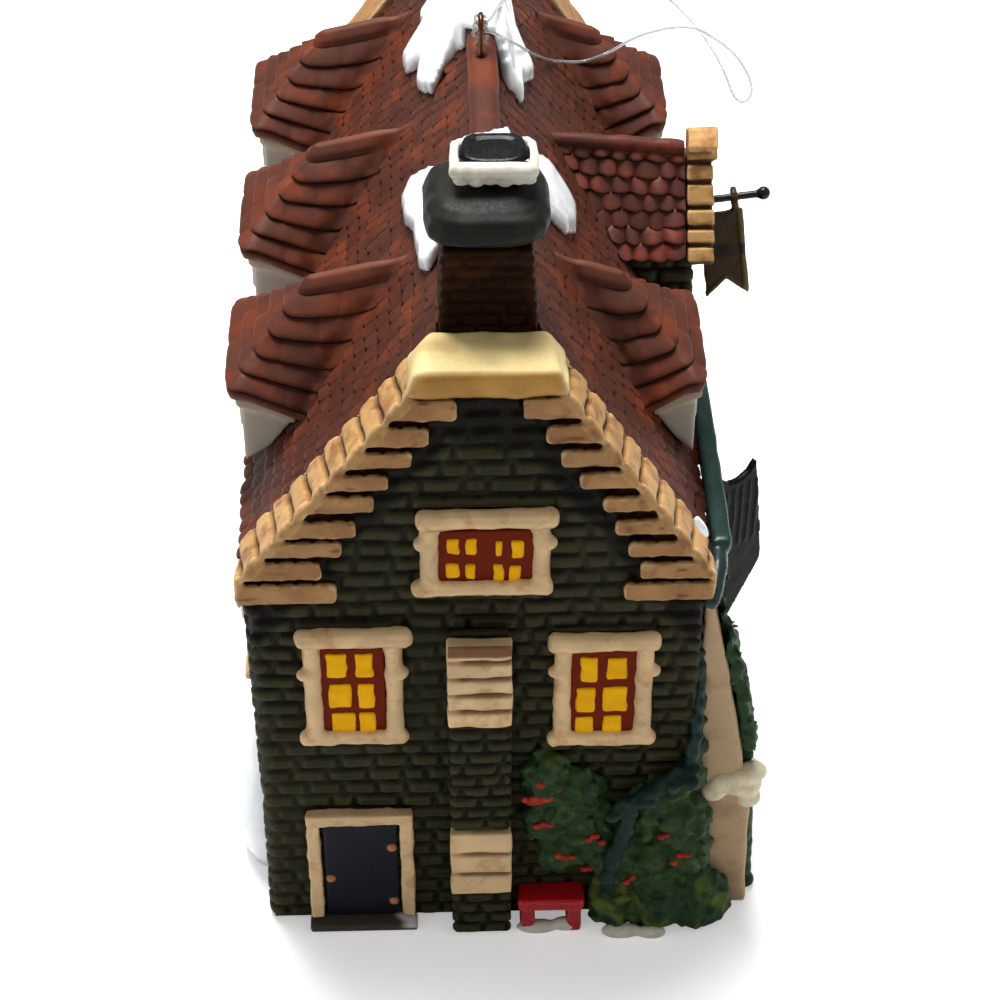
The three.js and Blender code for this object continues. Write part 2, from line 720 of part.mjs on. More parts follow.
// Brick pier up the gable, with two bands of dressed stones let into its face
const pierTop = EAVE_HEIGHT - PIER_TOP_DROP;
const pierLeft = PIER_MIDDLE - PIER_WIDTH / 2;
const pierRight = PIER_MIDDLE + PIER_WIDTH / 2;
const pierFace = front - SEAT - PIER_PROUD;
{
  const core = block(pierLeft, pierRight, pierFace, front - SEAT, 0, pierTop);
  const bands = [
    ['pier_upper_stones', pierTop - UPPER_STONES_HEIGHT, pierTop, UPPER_STONES_COUNT],
    ['pier_lower_stones', LOWER_STONES_BASE, LOWER_STONES_BASE + LOWER_STONES_HEIGHT, LOWER_STONES_COUNT],
  ];
  const beds = bands.map(([name, z0, z1]) => block(
    pierLeft - 1, pierRight + 1, pierFace - 1, pierFace + STONE_DEPTH, z0 - SEAT,
    name === 'pier_upper_stones' ? FAR : z1 + SEAT));
  piece('pier', cut(core, ...beds), brick());
  bands.forEach(([name, z0, z1, count]) => {
    const stoneBack = pierFace + STONE_DEPTH - SEAT;
    const stones = block(pierLeft - 0.2, pierRight + 0.2, pierFace - 0.2, stoneBack, z0, z1);
    const joints = Array.from({ length: count - 1 }, (_, i) => {
      const z = z0 + ((z1 - z0) * (i + 1)) / count;
      const half = JOINT_WIDTH / 2;
      return block(pierLeft - 1, pierRight + 1, pierFace - 1, pierFace + 0.35, z - half, z + half);
    });
    piece(name, cut(stones, ...joints), paleStone());
  });
}

// A door and its surround facing -Y, standing on its step
function doorFrame(width, height, jamb, proud) {
  const inner = width / 2;
  const outer = inner + jamb;
  return join(
    block(-outer, -inner, -SEAT - proud, -SEAT, 0, height + jamb / 2),
    block(inner, outer, -SEAT - proud, -SEAT, 0, height + jamb / 2),
    block(-outer, outer, -SEAT - proud - 0.2, -SEAT, height, height + jamb),
  );
}

function doorLeaf(width, height, planks) {
  const half = width / 2 - SEAT;
  const face = -SEAT - SASH_DEPTH;
  const leaf = block(-half, half, face, -SEAT, 0, height - SEAT);
  const gaps = Array.from({ length: planks - 1 }, (_, i) => {
    const x = -half + (2 * half * (i + 1)) / planks;
    return block(x - 0.15, x + 0.15, face - 1, face + 0.25, -1, height);
  });
  return cut(leaf, ...gaps);
}

{
  const group = placed(-wallX + DOOR_FROM_CORNER, front, 0);
  const foot = placed(-wallX + DOOR_FROM_CORNER, front, STEP_HEIGHT + SEAT);
  const stepHalf = DOOR_WIDTH / 2 + DOOR_JAMB + 0.2;
  const step = block(-stepHalf, stepHalf, -SEAT - STEP_DEPTH, -SEAT, 0, STEP_HEIGHT);
  piece('side_door_step', step, greyStone(), group);
  piece('side_door_frame', doorFrame(DOOR_WIDTH, DOOR_HEIGHT, DOOR_JAMB, DOOR_PROUD), paleStone(), foot);
  const edge = DOOR_WIDTH / 2 - SEAT - KNOB_RADIUS;
  const face = -SEAT - SASH_DEPTH;
  const knobs = [
    [-edge, DOOR_HEIGHT * 0.42],
    [edge, DOOR_HEIGHT * 0.16],
    [edge, DOOR_HEIGHT * 0.74],
  ].map(([x, z]) => egg(x, face, z, KNOB_RADIUS, KNOB_RADIUS, KNOB_RADIUS, 8, 6));
  piece('side_door_leaf', join(doorLeaf(DOOR_WIDTH, DOOR_HEIGHT, 3), ...knobs), darkWood(), foot);
}

// Garden bench by the pier
const benchLeft = pierRight + BENCH_FROM_PIER;
const benchRight = benchLeft + BENCH_WIDTH;
{
  const y1 = front - SEAT;
  const y0 = y1 - BENCH_DEPTH;
  const seatLow = BENCH_HEIGHT - BENCH_SEAT;
  piece('garden_bench', join(
    block(benchLeft, benchRight, y0, y1, seatLow, BENCH_HEIGHT),
    block(benchLeft + 0.3, benchLeft + 0.3 + BENCH_LEG, y0 + 0.3, y1, 0, seatLow + 0.5),
    block(benchRight - 0.3 - BENCH_LEG, benchRight - 0.3, y0 + 0.3, y1, 0, seatLow + 0.5),
  ), redPaint());
}

// Climbing plants on the gable: leafy lobes round a stem, then a spray that climbs the corner.
// Each lobe has its place from the bench's end and the floor, its half sizes and how far it stands out,
// drawn for plants of PLANT_HEIGHT and grown to end under the right window's sill.
{
  const plantTop = EAVE_HEIGHT - RIGHT_SILL_DROP - WINDOW_SILL - SEAT;
  const growth = plantTop / PLANT_HEIGHT;
  const lobes = [
    [-4.2, 22.6, 3.1, 4.4, 2], [-1.2, 20.4, 3.4, 4, 2.2], [-3.6, 16.4, 3.6, 3.6, 2.4],
    [0.4, 14.6, 4.2, 4.6, 2.6], [-2.2, 11.6, 3.4, 3.2, 2.4], [3.6, 10.4, 3.6, 4.2, 2.8],
    [6.6, 16.6, 2.2, 5.2, 1.8], [8.8, 20.6, 3.4, 1.8, 1.6], [11.2, 22.8, 1.6, 2.4, 1.3],
    [10.6, 15.4, 3.4, 4.2, 2.4], [10.8, 11.2, 3.6, 4.2, 2.6], [7.2, 8.4, 4, 5.2, 3.2],
    [3.8, 3, 3.4, 4.2, 3.4], [8.6, 3, 4.4, 4.6, 3.9], [12.6, 3, 3.6, 5.2, 3.7], [14.2, 2.4, 2.6, 4.4, 3],
  ];
  const leaves = lobes.map(([dx, z, a, c, b]) => egg(
    benchRight + dx, front - SEAT, z * growth, a, b, c * growth, 8, 6));
  const behind = block(-FAR, FAR, front - SEAT, FAR, -FAR, FAR);
  const floor = block(-FAR, FAR, -FAR, FAR, -FAR, 0);
  const benchRoom = block(
    -FAR, benchRight + SEAT, -FAR, FAR, -FAR, BENCH_HEIGHT + SEAT);
  piece('climbing_plants', cut(join(...leaves), behind, floor, benchRoom), foliage());
}

// Street gutter along the front part of the eave
const gutterX0 = eaveX + SEAT;
const gutterX1 = gutterX0 + GUTTER_WIDTH;
const gutterBottom = EAVE_HEIGHT - GUTTER_DROP;
const gutterTop = gutterBottom + GUTTER_HEIGHT;
const firstDormerY = front + DORMER_FROM_FRONT;
const lastDormerY = back - DORMER_FROM_BACK;
const crossY = (firstDormerY + lastDormerY) / 2;
const crossHalf = CROSS_WIDTH / 2;
const gutterOutline = [
  [gutterX0, gutterBottom],
  [gutterX1 - 0.6, gutterBottom],
  [gutterX1, gutterBottom + 0.8],
  [gutterX1, gutterTop],
  [gutterX0, gutterTop],
];
piece('street_gutter', alongY(
  gutterOutline, copingBack + SEAT, crossY - crossHalf - CROSS_OVERHANG - SEAT), teal());

// Swept buttress at the street corner, with snow on its shoulder and ivy up its edge
const buttressX = wallX + SEAT;
const buttressTop = slopeHeight(1, eaveX, -ROOF_THICKNESS) - SEAT;
const buttressFront = front + BUTTRESS_SETBACK;
const buttressBack = buttressFront + BUTTRESS_DEPTH;
// Each point has its reach from the wall and its height, as the sweep of this buttress
const sweep = [
  [0.14, 1], [0.3, 0.88], [0.56, 0.68], [0.78, 0.49], [0.84, 0.4], [0.94, 0.33], [0.96, 0.1], [1, 0],
];
const sweepPoint = (grow) => ([reach, height]) => [
  buttressX + reach * BUTTRESS_REACH + grow, height * buttressTop];
{
  const outline = [[buttressX, 0], [buttressX, buttressTop], ...sweep.map(sweepPoint(0))];
  piece('corner_buttress', alongY(outline, buttressFront, buttressBack), paint('#b39670', 0.6));
  const shoulder = sweep.slice(3, 6);
  piece('ledge_snow', alongY([
    ...shoulder.map(sweepPoint(SEAT)),
    ...shoulder.map(sweepPoint(SEAT + LEDGE_SNOW_THICKNESS)).reverse(),
  ], buttressFront - 0.4, buttressBack - 0.5), snowGlaze());
  const ivyRun = (from, to) => {
    const run = sweep.slice(from, to);
    return alongY([
      ...run.map(sweepPoint(SEAT)),
      ...run.map(sweepPoint(SEAT + IVY_THICKNESS)).reverse(),
    ], buttressFront + 0.6, buttressBack - 0.2);
  };
  const ivyTop = sweepPoint(0)(sweep[3])[1] + 1.5;
  const upperIvy = cut(ivyRun(0, 4), block(-FAR, FAR, -FAR, FAR, -FAR, ivyTop));
  piece('buttress_ivy', upperIvy, foliage());
}

// A dormer, built as if at y = 0: its body sits on the main roof and its hipped roof on the body
const dormerEave = EAVE_HEIGHT + DORMER_EAVE_RISE;
const dormerRidge = dormerEave + DORMER_ROOF_RISE;
function dormerBody(side) {
  const faceX = side * (wallX - DORMER_FACE_SETBACK);
  const top = dormerEave - DORMER_FASCIA - SEAT;
  const innerX = slopeX(side, top, SEAT);
  const half = DORMER_BODY_WIDTH / 2;
  const body = alongY([
    [faceX, slopeHeight(side, faceX, SEAT)],
    [faceX, top],
    [innerX, top],
  ], -half, half);
  const low = (slopeHeight(side, faceX, SEAT) + top) / 2 - DORMER_WINDOW_HEIGHT / 2;
  const outX = faceX + side * 0.6;
  const surround = block(
    Math.min(faceX - side, outX), Math.max(faceX - side, outX),
    -DORMER_WINDOW_WIDTH / 2, DORMER_WINDOW_WIDTH / 2, low, low + DORMER_WINDOW_HEIGHT);
  const panes = [-1, 1].map((pane) => {
    const middle = (pane * DORMER_WINDOW_WIDTH) / 4;
    const paneHalf = DORMER_WINDOW_WIDTH / 4 - GLAZING_BAR;
    return block(
      Math.min(outX - side * 0.4, outX + side), Math.max(outX - side * 0.4, outX + side),
      middle - paneHalf, middle + paneHalf, low + GLAZING_BAR, low + DORMER_WINDOW_HEIGHT - GLAZING_BAR);
  });
  return cut(join(body, surround), ...panes);
}

// A dormer roof before it is cut off at the main roof, grown by a clearance. Its ridge falls to the hip
function dormerHull(side, clearance) {
  const half = DORMER_ROOF_WIDTH / 2 + clearance;
  const overhang = clearance + (side < 0 ? DORMER_TIP_OVERHANG : RIGHT_DORMER_TIP_OVERHANG);
  const tipX = side * (wallX + overhang);
  const hipX = tipX - side * DORMER_HIP;
  const meetX = slopeX(side, dormerRidge, 0);
  const fall = DORMER_RIDGE_FALL / Math.abs(hipX - meetX);
  const middleRidge = dormerRidge + fall * Math.abs(meetX) + clearance;
  const low = dormerEave - DORMER_FASCIA - clearance;
  const high = dormerEave + clearance;
  const eaveCorners = [0, tipX].flatMap((x) => [-half, half].flatMap((y) => [[x, y, low], [x, y, high]]));
  const hipTop = [hipX, 0, dormerRidge - DORMER_RIDGE_FALL + clearance];
  return wasm.Manifold.hull([...eaveCorners, [0, 0, middleRidge], hipTop]);
}

function dormerRoof(side) {
  return cut(dormerHull(side, 0), roofWedge(SEAT));
}

const dormerMiddle = (number) => [firstDormerY, crossY, lastDormerY][number - 1];
const dormerRows = [['left', -1, [1, 2, 3]], ['right', 1, [1, 3]]];
const dormerRooms = dormerRows.flatMap(([, side, numbers]) => numbers.map(
  (number) => dormerHull(side, SEAT).translate([0, dormerMiddle(number), 0])));
dormerRows.forEach(([word, side, numbers]) => {
  const body = dormerBody(side);
  const roof = dormerRoof(side);
  numbers.forEach((number, order) => {
    const group = placed(0, dormerMiddle(number), 0);
    piece(`dormer_${word}_${order + 1}`, body, bisque(), group);
    piece(`dormer_roof_${word}_${order + 1}`, roof, shingle(), group);
  });
});

// Cross gable over the street door: a brick bay, its own roof and its coping
const bayFace = wallX + CROSS_PROUD;
const crossEave = EAVE_HEIGHT + CROSS_EAVE_RISE;
const crossRidge = crossEave + CROSS_ROOF_RISE;
const crossRoofHalf = crossHalf + CROSS_OVERHANG;
const crossSlope = CROSS_ROOF_RISE / crossRoofHalf;
const crossStretch = Math.hypot(1, crossSlope);
const crossTop = (y, offset = 0) => crossRidge - crossSlope * Math.abs(y) + offset * crossStretch;
const copingX0 = bayFace - 0.8;
const copingX1 = copingX0 + CROSS_COPING_WIDTH;
const rodZ = crossRidge - ROD_DROP;
{
  const group = placed(0, crossY, 0);
  const bodyTop = -CROSS_ROOF_THICKNESS - SEAT;
  const bay = alongX([
    [-crossHalf, 0],
    [crossHalf, 0],
    [crossHalf, crossTop(crossHalf, bodyTop)],
    [0, crossTop(0, bodyTop)],
    [-crossHalf, crossTop(crossHalf, bodyTop)],
  ], 0, bayFace);
  const socket = block(
    bayFace - ROD_SOCKET - SEAT, bayFace + 1, -ROD_RADIUS - SEAT, ROD_RADIUS + SEAT,
    rodZ - ROD_RADIUS - SEAT, rodZ + ROD_RADIUS + SEAT + ROD_RISE * 0.2);
  piece('cross_gable_wall', cut(bay, seatedHouse, socket), brick(), group);

  const roofOutline = (half, raise) => [
    [-half, crossTop(half, -CROSS_ROOF_THICKNESS)],
    [0, crossTop(0, -CROSS_ROOF_THICKNESS)],
    [half, crossTop(half, -CROSS_ROOF_THICKNESS)],
    [half, crossTop(half, raise)],
    [0, crossTop(0, raise)],
    [-half, crossTop(half, raise)],
  ];
  const roof = alongX(roofOutline(crossRoofHalf, 0), 0, copingX0 - SEAT);
  piece('cross_gable_roof', cut(roof, seatedHouse), shingle(), group);

  const rakes = alongX(roofOutline(crossRoofHalf, CROSS_COPING_RISE / crossStretch), copingX0, copingX1);
  const capHalf = CROSS_CAP_WIDTH / 2;
  const cap = alongX([
    [-capHalf, crossTop(capHalf, 0)],
    [0, crossTop(0, 0)],
    [capHalf, crossTop(capHalf, 0)],
    [capHalf, crossTop(capHalf * 0.4, CROSS_COPING_RISE / crossStretch)],
    [capHalf * 0.5, crossRidge + CROSS_COPING_RISE + 0.3],
    [-capHalf * 0.5, crossRidge + CROSS_COPING_RISE + 0.3],
    [-capHalf, crossTop(capHalf * 0.4, CROSS_COPING_RISE / crossStretch)],
  ], copingX0, copingX1 + 0.3);
  const joints = [-1, 1].flatMap((side) => [0.36, 0.52, 0.68, 0.84].map((share) => {
    const y = side * crossRoofHalf * share;
    const z = crossTop(y, CROSS_COPING_RISE / crossStretch);
    return block(copingX0 - 1, copingX1 + 1, y - JOINT_WIDTH / 2, y + JOINT_WIDTH / 2, z - 0.35, z + 1);
  }));
  piece('cross_gable_coping', join(cut(rakes, ...joints), cap), stone(), group);
}

// Street door in the bay, with the street windows on either side of it
const streetTurn = Math.PI / 2;
{
  const door = placed(bayFace, crossY, 0, streetTurn);
  const leafHalf = STREET_DOOR_WIDTH / 2 + 0.5;
  piece('street_door', join(
    doorFrame(STREET_DOOR_WIDTH, STREET_DOOR_HEIGHT, DOOR_JAMB, DOOR_PROUD),
    block(-leafHalf, leafHalf, -SEAT - SASH_DEPTH, -SEAT, 0, STREET_DOOR_HEIGHT + 0.5),
  ), darkWood(), door);
  const sashed = (sizes) => {
    const half = sizes.width / 2 + 0.5;
    const pane = block(-half, half, -SEAT - SASH_BACK, -SEAT, -sizes.sill / 2, sizes.height + 0.5);
    return join(windowFrame(sizes), pane);
  };
  const upper = { ...gableWindow, width: WINDOW_WIDTH, height: WINDOW_HEIGHT };
  const shop = { ...gableWindow, width: SHOP_WINDOW_WIDTH, height: SHOP_WINDOW_HEIGHT, lug: 0 };
  const upperSill = EAVE_HEIGHT - RIGHT_SILL_DROP;
  [['front', -1], ['rear', 1]].forEach(([word, side]) => {
    const y = crossY + side * STREET_WINDOW_FROM_MIDDLE;
    piece(`street_window_${word}`, sashed(upper), paleStone(), placed(wallX, y, upperSill, streetTurn));
    piece(`shop_window_${word}`, sashed(shop), paleStone(), placed(wallX, y, SHOP_SILL, streetTurn));
    piece(`lane_window_${word}`, sashed(upper), paleStone(), placed(
      -wallX, side * (HOUSE_LENGTH / 2 - LANE_WINDOW_FROM_END), EAVE_HEIGHT - LEFT_SILL_DROP, -streetTurn));
  });
}

// The snow's crest over the ridge tiles, whose two feet stand in the snow of the slopes
const crestTop = RIDGE_HEIGHT + RIDGE_TILE_RISE + SEAT + SNOW_THICKNESS * 0.6;
const crestHalf = RIDGE_TILE_WIDTH / 2 + 2 * SNOW_THICKNESS;
const crestFoot = (side, offset) => [
  RIDGE_OFFSET + side * crestHalf, slopeHeight(side, RIDGE_OFFSET + side * crestHalf, offset)];
const crestLow = SEAT + SNOW_THICKNESS * 0.2;
const crestHigh = SEAT + SNOW_THICKNESS * 0.8;
const snowCrest = [
  crestFoot(-1, crestLow),
  apex(crestLow),
  crestFoot(1, crestLow),
  crestFoot(1, crestHigh),
  [RIDGE_OFFSET + crestHalf * 0.6, crestTop - 0.8],
  [RIDGE_OFFSET + crestHalf * 0.25, crestTop],
  [RIDGE_OFFSET - crestHalf * 0.25, crestTop],
  [RIDGE_OFFSET - crestHalf * 0.6, crestTop - 0.8],
  crestFoot(-1, crestHigh),
];

// Snow lying on the main roof and over the ridge, in an outline of places from the ridge and from startY.
// It ends before the dormers
function snowPatch(startY, outline) {
  const places = outline.map(([dx, dy]) => [RIDGE_OFFSET + dx, startY + dy]);
  const prism = alongZ(places, EAVE_HEIGHT, FAR);
  const crest = alongY(snowCrest, -FAR, FAR);
  const outer = join(roofWedge(SNOW_THICKNESS + SEAT), crest);
  const tiles = alongY(ridgeTileOutline(SEAT, -ROOF_THICKNESS), -FAR, FAR);
  const inner = join(roofWedge(SEAT), tiles, block(-FAR, FAR, -FAR, FAR, -FAR, EAVE_HEIGHT + 1));
  const stackRoom = block(
    stackLeft - SEAT, stackRight + SEAT, stackFront - 1, stackBack + SEAT, 0, FAR);
  return cut(outer.intersect(prism), inner, stackRoom, ...dormerRooms);
}
piece('ridge_snow_front', snowPatch(stackBack, [
  [-5.9, 3.4], [-4.6, 5.6], [-4.6, 9], [-1.3, 8.6], [2.2, 8.8], [5, 12.6], [6.6, 15.6], [8.4, 16.8],
  [9.3, 19.2], [9.5, 22.4], [8.3, 23.8], [6.8, 24.6], [5.2, 22.4], [2.4, 16.4], [0, 13.4], [-3.1, 14.8],
  [-5.6, 19.2], [-7.5, 21.4], [-8.4, 19.6], [-8.2, 16], [-7.2, 12.4], [-7, 9.3], [-6.7, 5.1],
]), snowGlaze());
piece('ridge_snow_rear', snowPatch(hangerFeet[1] + SEAT, [
  [-5.4, 2.9], [-4, 5.5], [-2.4, 5.7], [-1.2, 3.1], [0, 1.8], [1.6, 2.5], [2.6, -0.4], [4.2, -0.2],
  [4.4, 4.4], [5.8, 8.5], [3.8, 12.4], [3.4, 19.9], [-0.8, 23.4], [-6.4, 21.4], [-6, 18.3], [-8.6, 16.3],
  [-8, 13.1], [-6.4, 11.9], [-6.8, 6.9],
]), snowGlaze());

// A drift of snow against the lane side
{
  const y = front + DRIFT_FROM_FRONT;
  const low = DRIFT_HEIGHT * 0.36;
  const heap = egg(-wallX - SEAT, y, low, DRIFT_REACH, DRIFT_LENGTH / 2, DRIFT_HEIGHT - low, 12, 8);
  const wallSide = block(-wallX - SEAT, FAR, -FAR, FAR, -FAR, FAR);
  const floor = block(-FAR, FAR, -FAR, FAR, -FAR, 0);
  piece('snow_drift', cut(heap, wallSide, floor), snowGlaze());
}

// Banner rod: it rises a little from its socket in the bay to a ball end
const rodStart = [bayFace - ROD_SOCKET, crossY, rodZ];
const rodEnd = [bayFace - ROD_SOCKET + ROD_REACH, crossY, rodZ + ROD_RISE];
const rodSlope = ROD_RISE / ROD_REACH;
const rodAngle = Math.atan(rodSlope);
piece('banner_rod', join(
  bar(rodStart, rodEnd, ROD_RADIUS, 12),
  egg(...rodEnd, ROD_BALL_RADIUS, ROD_BALL_RADIUS, ROD_BALL_RADIUS, 10, 8),
), blackMetal());

// Swallowtail banner that swings on the rod by two eyes, drawn with x along the rod from its left edge
{
  const left = bayFace + BANNER_FROM_WALL;
  const group = placed(left, crossY, rodZ + (left - rodStart[0]) * rodSlope);
  group.rotation.y = -rodAngle;
  const eyeBore = ROD_RADIUS + SWING_CLEARANCE;
  const eyeOuter = eyeBore + EYE_WALL;
  const top = -eyeOuter - 0.5;
  const half = BANNER_THICKNESS / 2;
  const cloth = alongY([
    [0, top], [BANNER_WIDTH, top], [BANNER_WIDTH, top - BANNER_HEIGHT],
    [BANNER_WIDTH / 2, top - BANNER_HEIGHT + BANNER_NOTCH], [0, top - BANNER_HEIGHT],
  ], -half, half);
  const hangers = [0.4, BANNER_WIDTH - 0.4 - EYE_WIDTH].map((x) => cut(
    join(
      bar([x, 0, 0], [x + EYE_WIDTH, 0, 0], eyeOuter, 12),
      block(x, x + EYE_WIDTH, -half, half, top - 0.4, -eyeBore - 0.1),
    ),
    bar([x - 1, 0, 0], [x + EYE_WIDTH + 1, 0, 0], eyeBore, 12)));
  piece('banner', join(cloth, ...hangers), bannerPaint(), group);
}

// Upright pin for the shield sign, on two short arms from the wall
const signX = wallX + SIGN_PIN_STANDOFF;
const signY = front + SIGN_FROM_FRONT;
const signTop = gutterBottom - SIGN_BELOW_GUTTER;
const signEyes = [signTop - 5.4, signTop - 11.4];
{
  const pinTop = signEyes[0] + 2.6;
  const pinLow = signEyes[1] - 2.6;
  const r = SIGN_PIN_RADIUS;
  const arms = [pinTop - SIGN_ARM_HEIGHT, pinLow].map((z) => block(
    wallX + SEAT, signX + r, signY - r, signY + r, z, z + SIGN_ARM_HEIGHT));
  const pin = bar([signX, signY, pinLow], [signX, signY, pinTop], r, 12);
  piece('sign_pin', join(pin, ...arms), blackMetal());
}

// Shield sign, drawn with x away from the pin and z = 0 at its top corners
{
  const group = placed(signX, signY, signTop, (SIGN_ANGLE * Math.PI) / 180);
  const eyeBore = SIGN_PIN_RADIUS + SWING_CLEARANCE;
  const eyeOuter = eyeBore + EYE_WALL;
  const half = SIGN_THICKNESS / 2;
  const topHalf = SIGN_TOP_WIDTH / 2;
  const flareHalf = SIGN_FLARE_WIDTH / 2;
  const flareZ = -SIGN_HEIGHT * 0.64;
  const board = alongY([
    [SIGN_MIDDLE - topHalf, 0],
    [SIGN_MIDDLE - topHalf * 0.5, -1.3],
    [SIGN_MIDDLE + topHalf * 0.1, -1.7],
    [SIGN_MIDDLE + topHalf * 0.6, -1.2],
    [SIGN_MIDDLE + topHalf, 0],
    [SIGN_MIDDLE + flareHalf, flareZ],
    [SIGN_MIDDLE + flareHalf, flareZ - 1.6],
    [SIGN_MIDDLE, -SIGN_HEIGHT],
    [SIGN_MIDDLE - flareHalf, flareZ - 1.6],
    [SIGN_MIDDLE - flareHalf, flareZ],
  ], -half, half);
  const pinRoom = bar([0, 0, -FAR], [0, 0, FAR], eyeBore, 12);
  const eyes = signEyes.map((z) => {
    const low = z - signTop - EYE_WIDTH / 2;
    return join(
      bar([0, 0, low], [0, 0, low + EYE_WIDTH], eyeOuter, 12),
      block(0, SIGN_MIDDLE - topHalf * 0.4, -half, half, low, low + EYE_WIDTH),
    );
  });
  piece('shield_sign', cut(join(board, ...eyes), pinRoom), blackMetal(), group);
}

// Wire hanger: a hairpin whose two feet stand in the ridge tiles
const hangerTop = RIDGE_HEIGHT + HANGER_HEIGHT;
{
  const [y0, y1] = hangerFeet;
  const foot = RIDGE_HEIGHT + SEAT + 0.1;
  const mid = (y0 + y1) / 2;
  const r = HANGER_SPREAD / 2;
  const bend = Array.from({ length: 7 }, (_, i) => {
    const angle = Math.PI * (1 - i / 6);
    return new THREE.Vector3(hangerX, mid + r * Math.cos(angle), hangerTop - r + r * Math.sin(angle));
  });
  const path = new THREE.CatmullRomCurve3([
    new THREE.Vector3(hangerX, y0, foot),
    new THREE.Vector3(hangerX, y0, (foot + hangerTop) / 2),
    ...bend,
    new THREE.Vector3(hangerX, y1, (foot + hangerTop) / 2),
    new THREE.Vector3(hangerX, y1, foot),
  ]);
  const section = roundSection(HANGER_WIRE_RADIUS);
  const wire = new THREE.ExtrudeGeometry(section, { steps: 24, extrudePath: path, bevelEnabled: false });
  piece('hanger_wire', solid(wire), bronzeWire());
}

// Nylon thread: a loop tied in the hairpin that lies over the roof and stands out beyond the eave.
// Each point is measured from the ridge's middle line.
const threadRoute = [
  [0, 1.3, 3.7], [0.8, 2.1, 3.2], [2, 3.5, 1.9], [4.2, 9.4, -2.6], [6.6, 16.6, -8], [9.7, 25, -13.5],
  [12.5, 26.4, -14.3], [15.1, 26.2, -13.2], [18.1, 29.9, -13.6], [21.2, 35.4, -15.6], [24.4, 39, -17],
  [27.2, 40.2, -17.9], [29.1, 39.8, -18.8], [31.6, 38.2, -20.1], [33.1, 37, -21.8],
  [33.8, 36.3, -23.2], [33.9, 35.8, -24.3], [33.5, 35.4, -25.1], [32.7, 35.2, -25.3],
  [31.9, 35.2, -24.8], [31.4, 35.5, -23.9], [31, 36, -23], [30.2, 37, -21.4], [29, 39, -19.9],
  [27.4, 42, -18.6], [24.4, 45.5, -16.8], [21.1, 44.5, -14], [16.6, 40.5, -11], [11.8, 35.5, -8.3],
  [7.3, 28, -5], [2.5, 12, 1.4], [0.8, 2.6, 4.3], [0, 1.3, 4.4],
];
{
  const path = new THREE.CatmullRomCurve3(threadRoute.map(([dx, y, dz]) => new THREE.Vector3(
    RIDGE_OFFSET + dx, y, RIDGE_HEIGHT + dz)));
  const section = roundSection(THREAD_DIAMETER / 2);
  const thread = new THREE.ExtrudeGeometry(section, { steps: 80, extrudePath: path, bevelEnabled: false });
  piece('hanging_thread', solid(thread), nylon());
}

export default house;
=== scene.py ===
# %% [markdown]
# # A village house ornament in Blender
# The real object is a small porcelain house. It was cast in a mould, fired, painted by hand and hung
# by a thread.
# Everything here is built round the measured model, which stays where it is. This file adds the looks:
# the brick relief, the lapped shingles, the soft cast edges and the paint.

# %% Load the measured model
import math

import bmesh
import bpy
import numpy as np
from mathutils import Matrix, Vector, kdtree


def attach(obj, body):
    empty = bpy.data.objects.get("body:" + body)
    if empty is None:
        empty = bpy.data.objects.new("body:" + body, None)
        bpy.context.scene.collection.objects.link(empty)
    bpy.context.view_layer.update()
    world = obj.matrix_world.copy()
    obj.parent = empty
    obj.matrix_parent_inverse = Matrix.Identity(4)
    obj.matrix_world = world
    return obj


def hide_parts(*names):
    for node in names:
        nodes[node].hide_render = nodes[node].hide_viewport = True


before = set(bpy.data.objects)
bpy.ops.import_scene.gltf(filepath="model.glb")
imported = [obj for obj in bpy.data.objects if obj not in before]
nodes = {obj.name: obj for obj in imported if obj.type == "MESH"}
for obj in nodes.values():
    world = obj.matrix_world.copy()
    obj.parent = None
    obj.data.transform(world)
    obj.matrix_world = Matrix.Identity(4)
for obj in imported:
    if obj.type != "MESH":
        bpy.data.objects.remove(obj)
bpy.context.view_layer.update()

MM = 0.001
scene = bpy.context.scene
print("measured pieces:", len(nodes))

# %% [markdown]
# ## Camera
# The photograph looks down on the gable end from about 40 degrees, a little from the left.
# The place was worked out from the vanishing lines of the roof and the walls.

# %% Camera
CAMERA_PLACE = (-0.002553, -0.22253, 0.21073)
CAMERA_DOWN = 40.0
CAMERA_TURN = -1.6
camera = bpy.data.objects.new("camera", bpy.data.cameras.new("camera"))
camera.data.sensor_width = 36
camera.data.lens = 86.4
camera.data.clip_start = 0.001
camera.location = CAMERA_PLACE
camera.rotation_euler = (math.radians(90 - CAMERA_DOWN), 0, math.radians(CAMERA_TURN))
scene.collection.objects.link(camera)
scene.camera = camera
print("camera lens:", camera.data.lens)

# %% [markdown]
# ## The house in numbers
# These are the main sizes of the measured model, in millimetres. The paint and the relief follow them.

# %% Main sizes
WALL_X = 23.0
FRONT = -44.0
BACK = 44.0
EAVE_X = 24.0
EAVE_Z = 50.8
RIDGE_X = 1.8
RIDGE_Z = 83.2
ROOF_THICKNESS = 1.6
SLOPE = {-1: (RIDGE_Z - EAVE_Z) / (WALL_X + RIDGE_X), 1: (RIDGE_Z - EAVE_Z) / (WALL_X - RIDGE_X)}
STRETCH = {side: math.hypot(1, slope) for side, slope in SLOPE.items()}


def roof_height(side, x, offset=0.0):
    """The height of a roof slope above x, raised squarely by an offset."""
    return RIDGE_Z - SLOPE[side] * (RIDGE_X - x) * -side + offset * STRETCH[side]


def roof_x(side, z, offset=0.0):
    """The x where a roof slope has a height."""
    return RIDGE_X + side * (RIDGE_Z + offset * STRETCH[side] - z) / SLOPE[side]


def above_roof(side, points):
    """How far points stand squarely above a roof slope."""
    return (points[..., 2] - roof_height(side, points[..., 0])) / STRETCH[side]


print("slopes:", SLOPE)

# %% [markdown]
# ## Nodes
# Each material is a small net of nodes. One function adds a node, sets it and links it.
# Colours are written as on a paint card, in sRGB, and one function turns them to linear light.

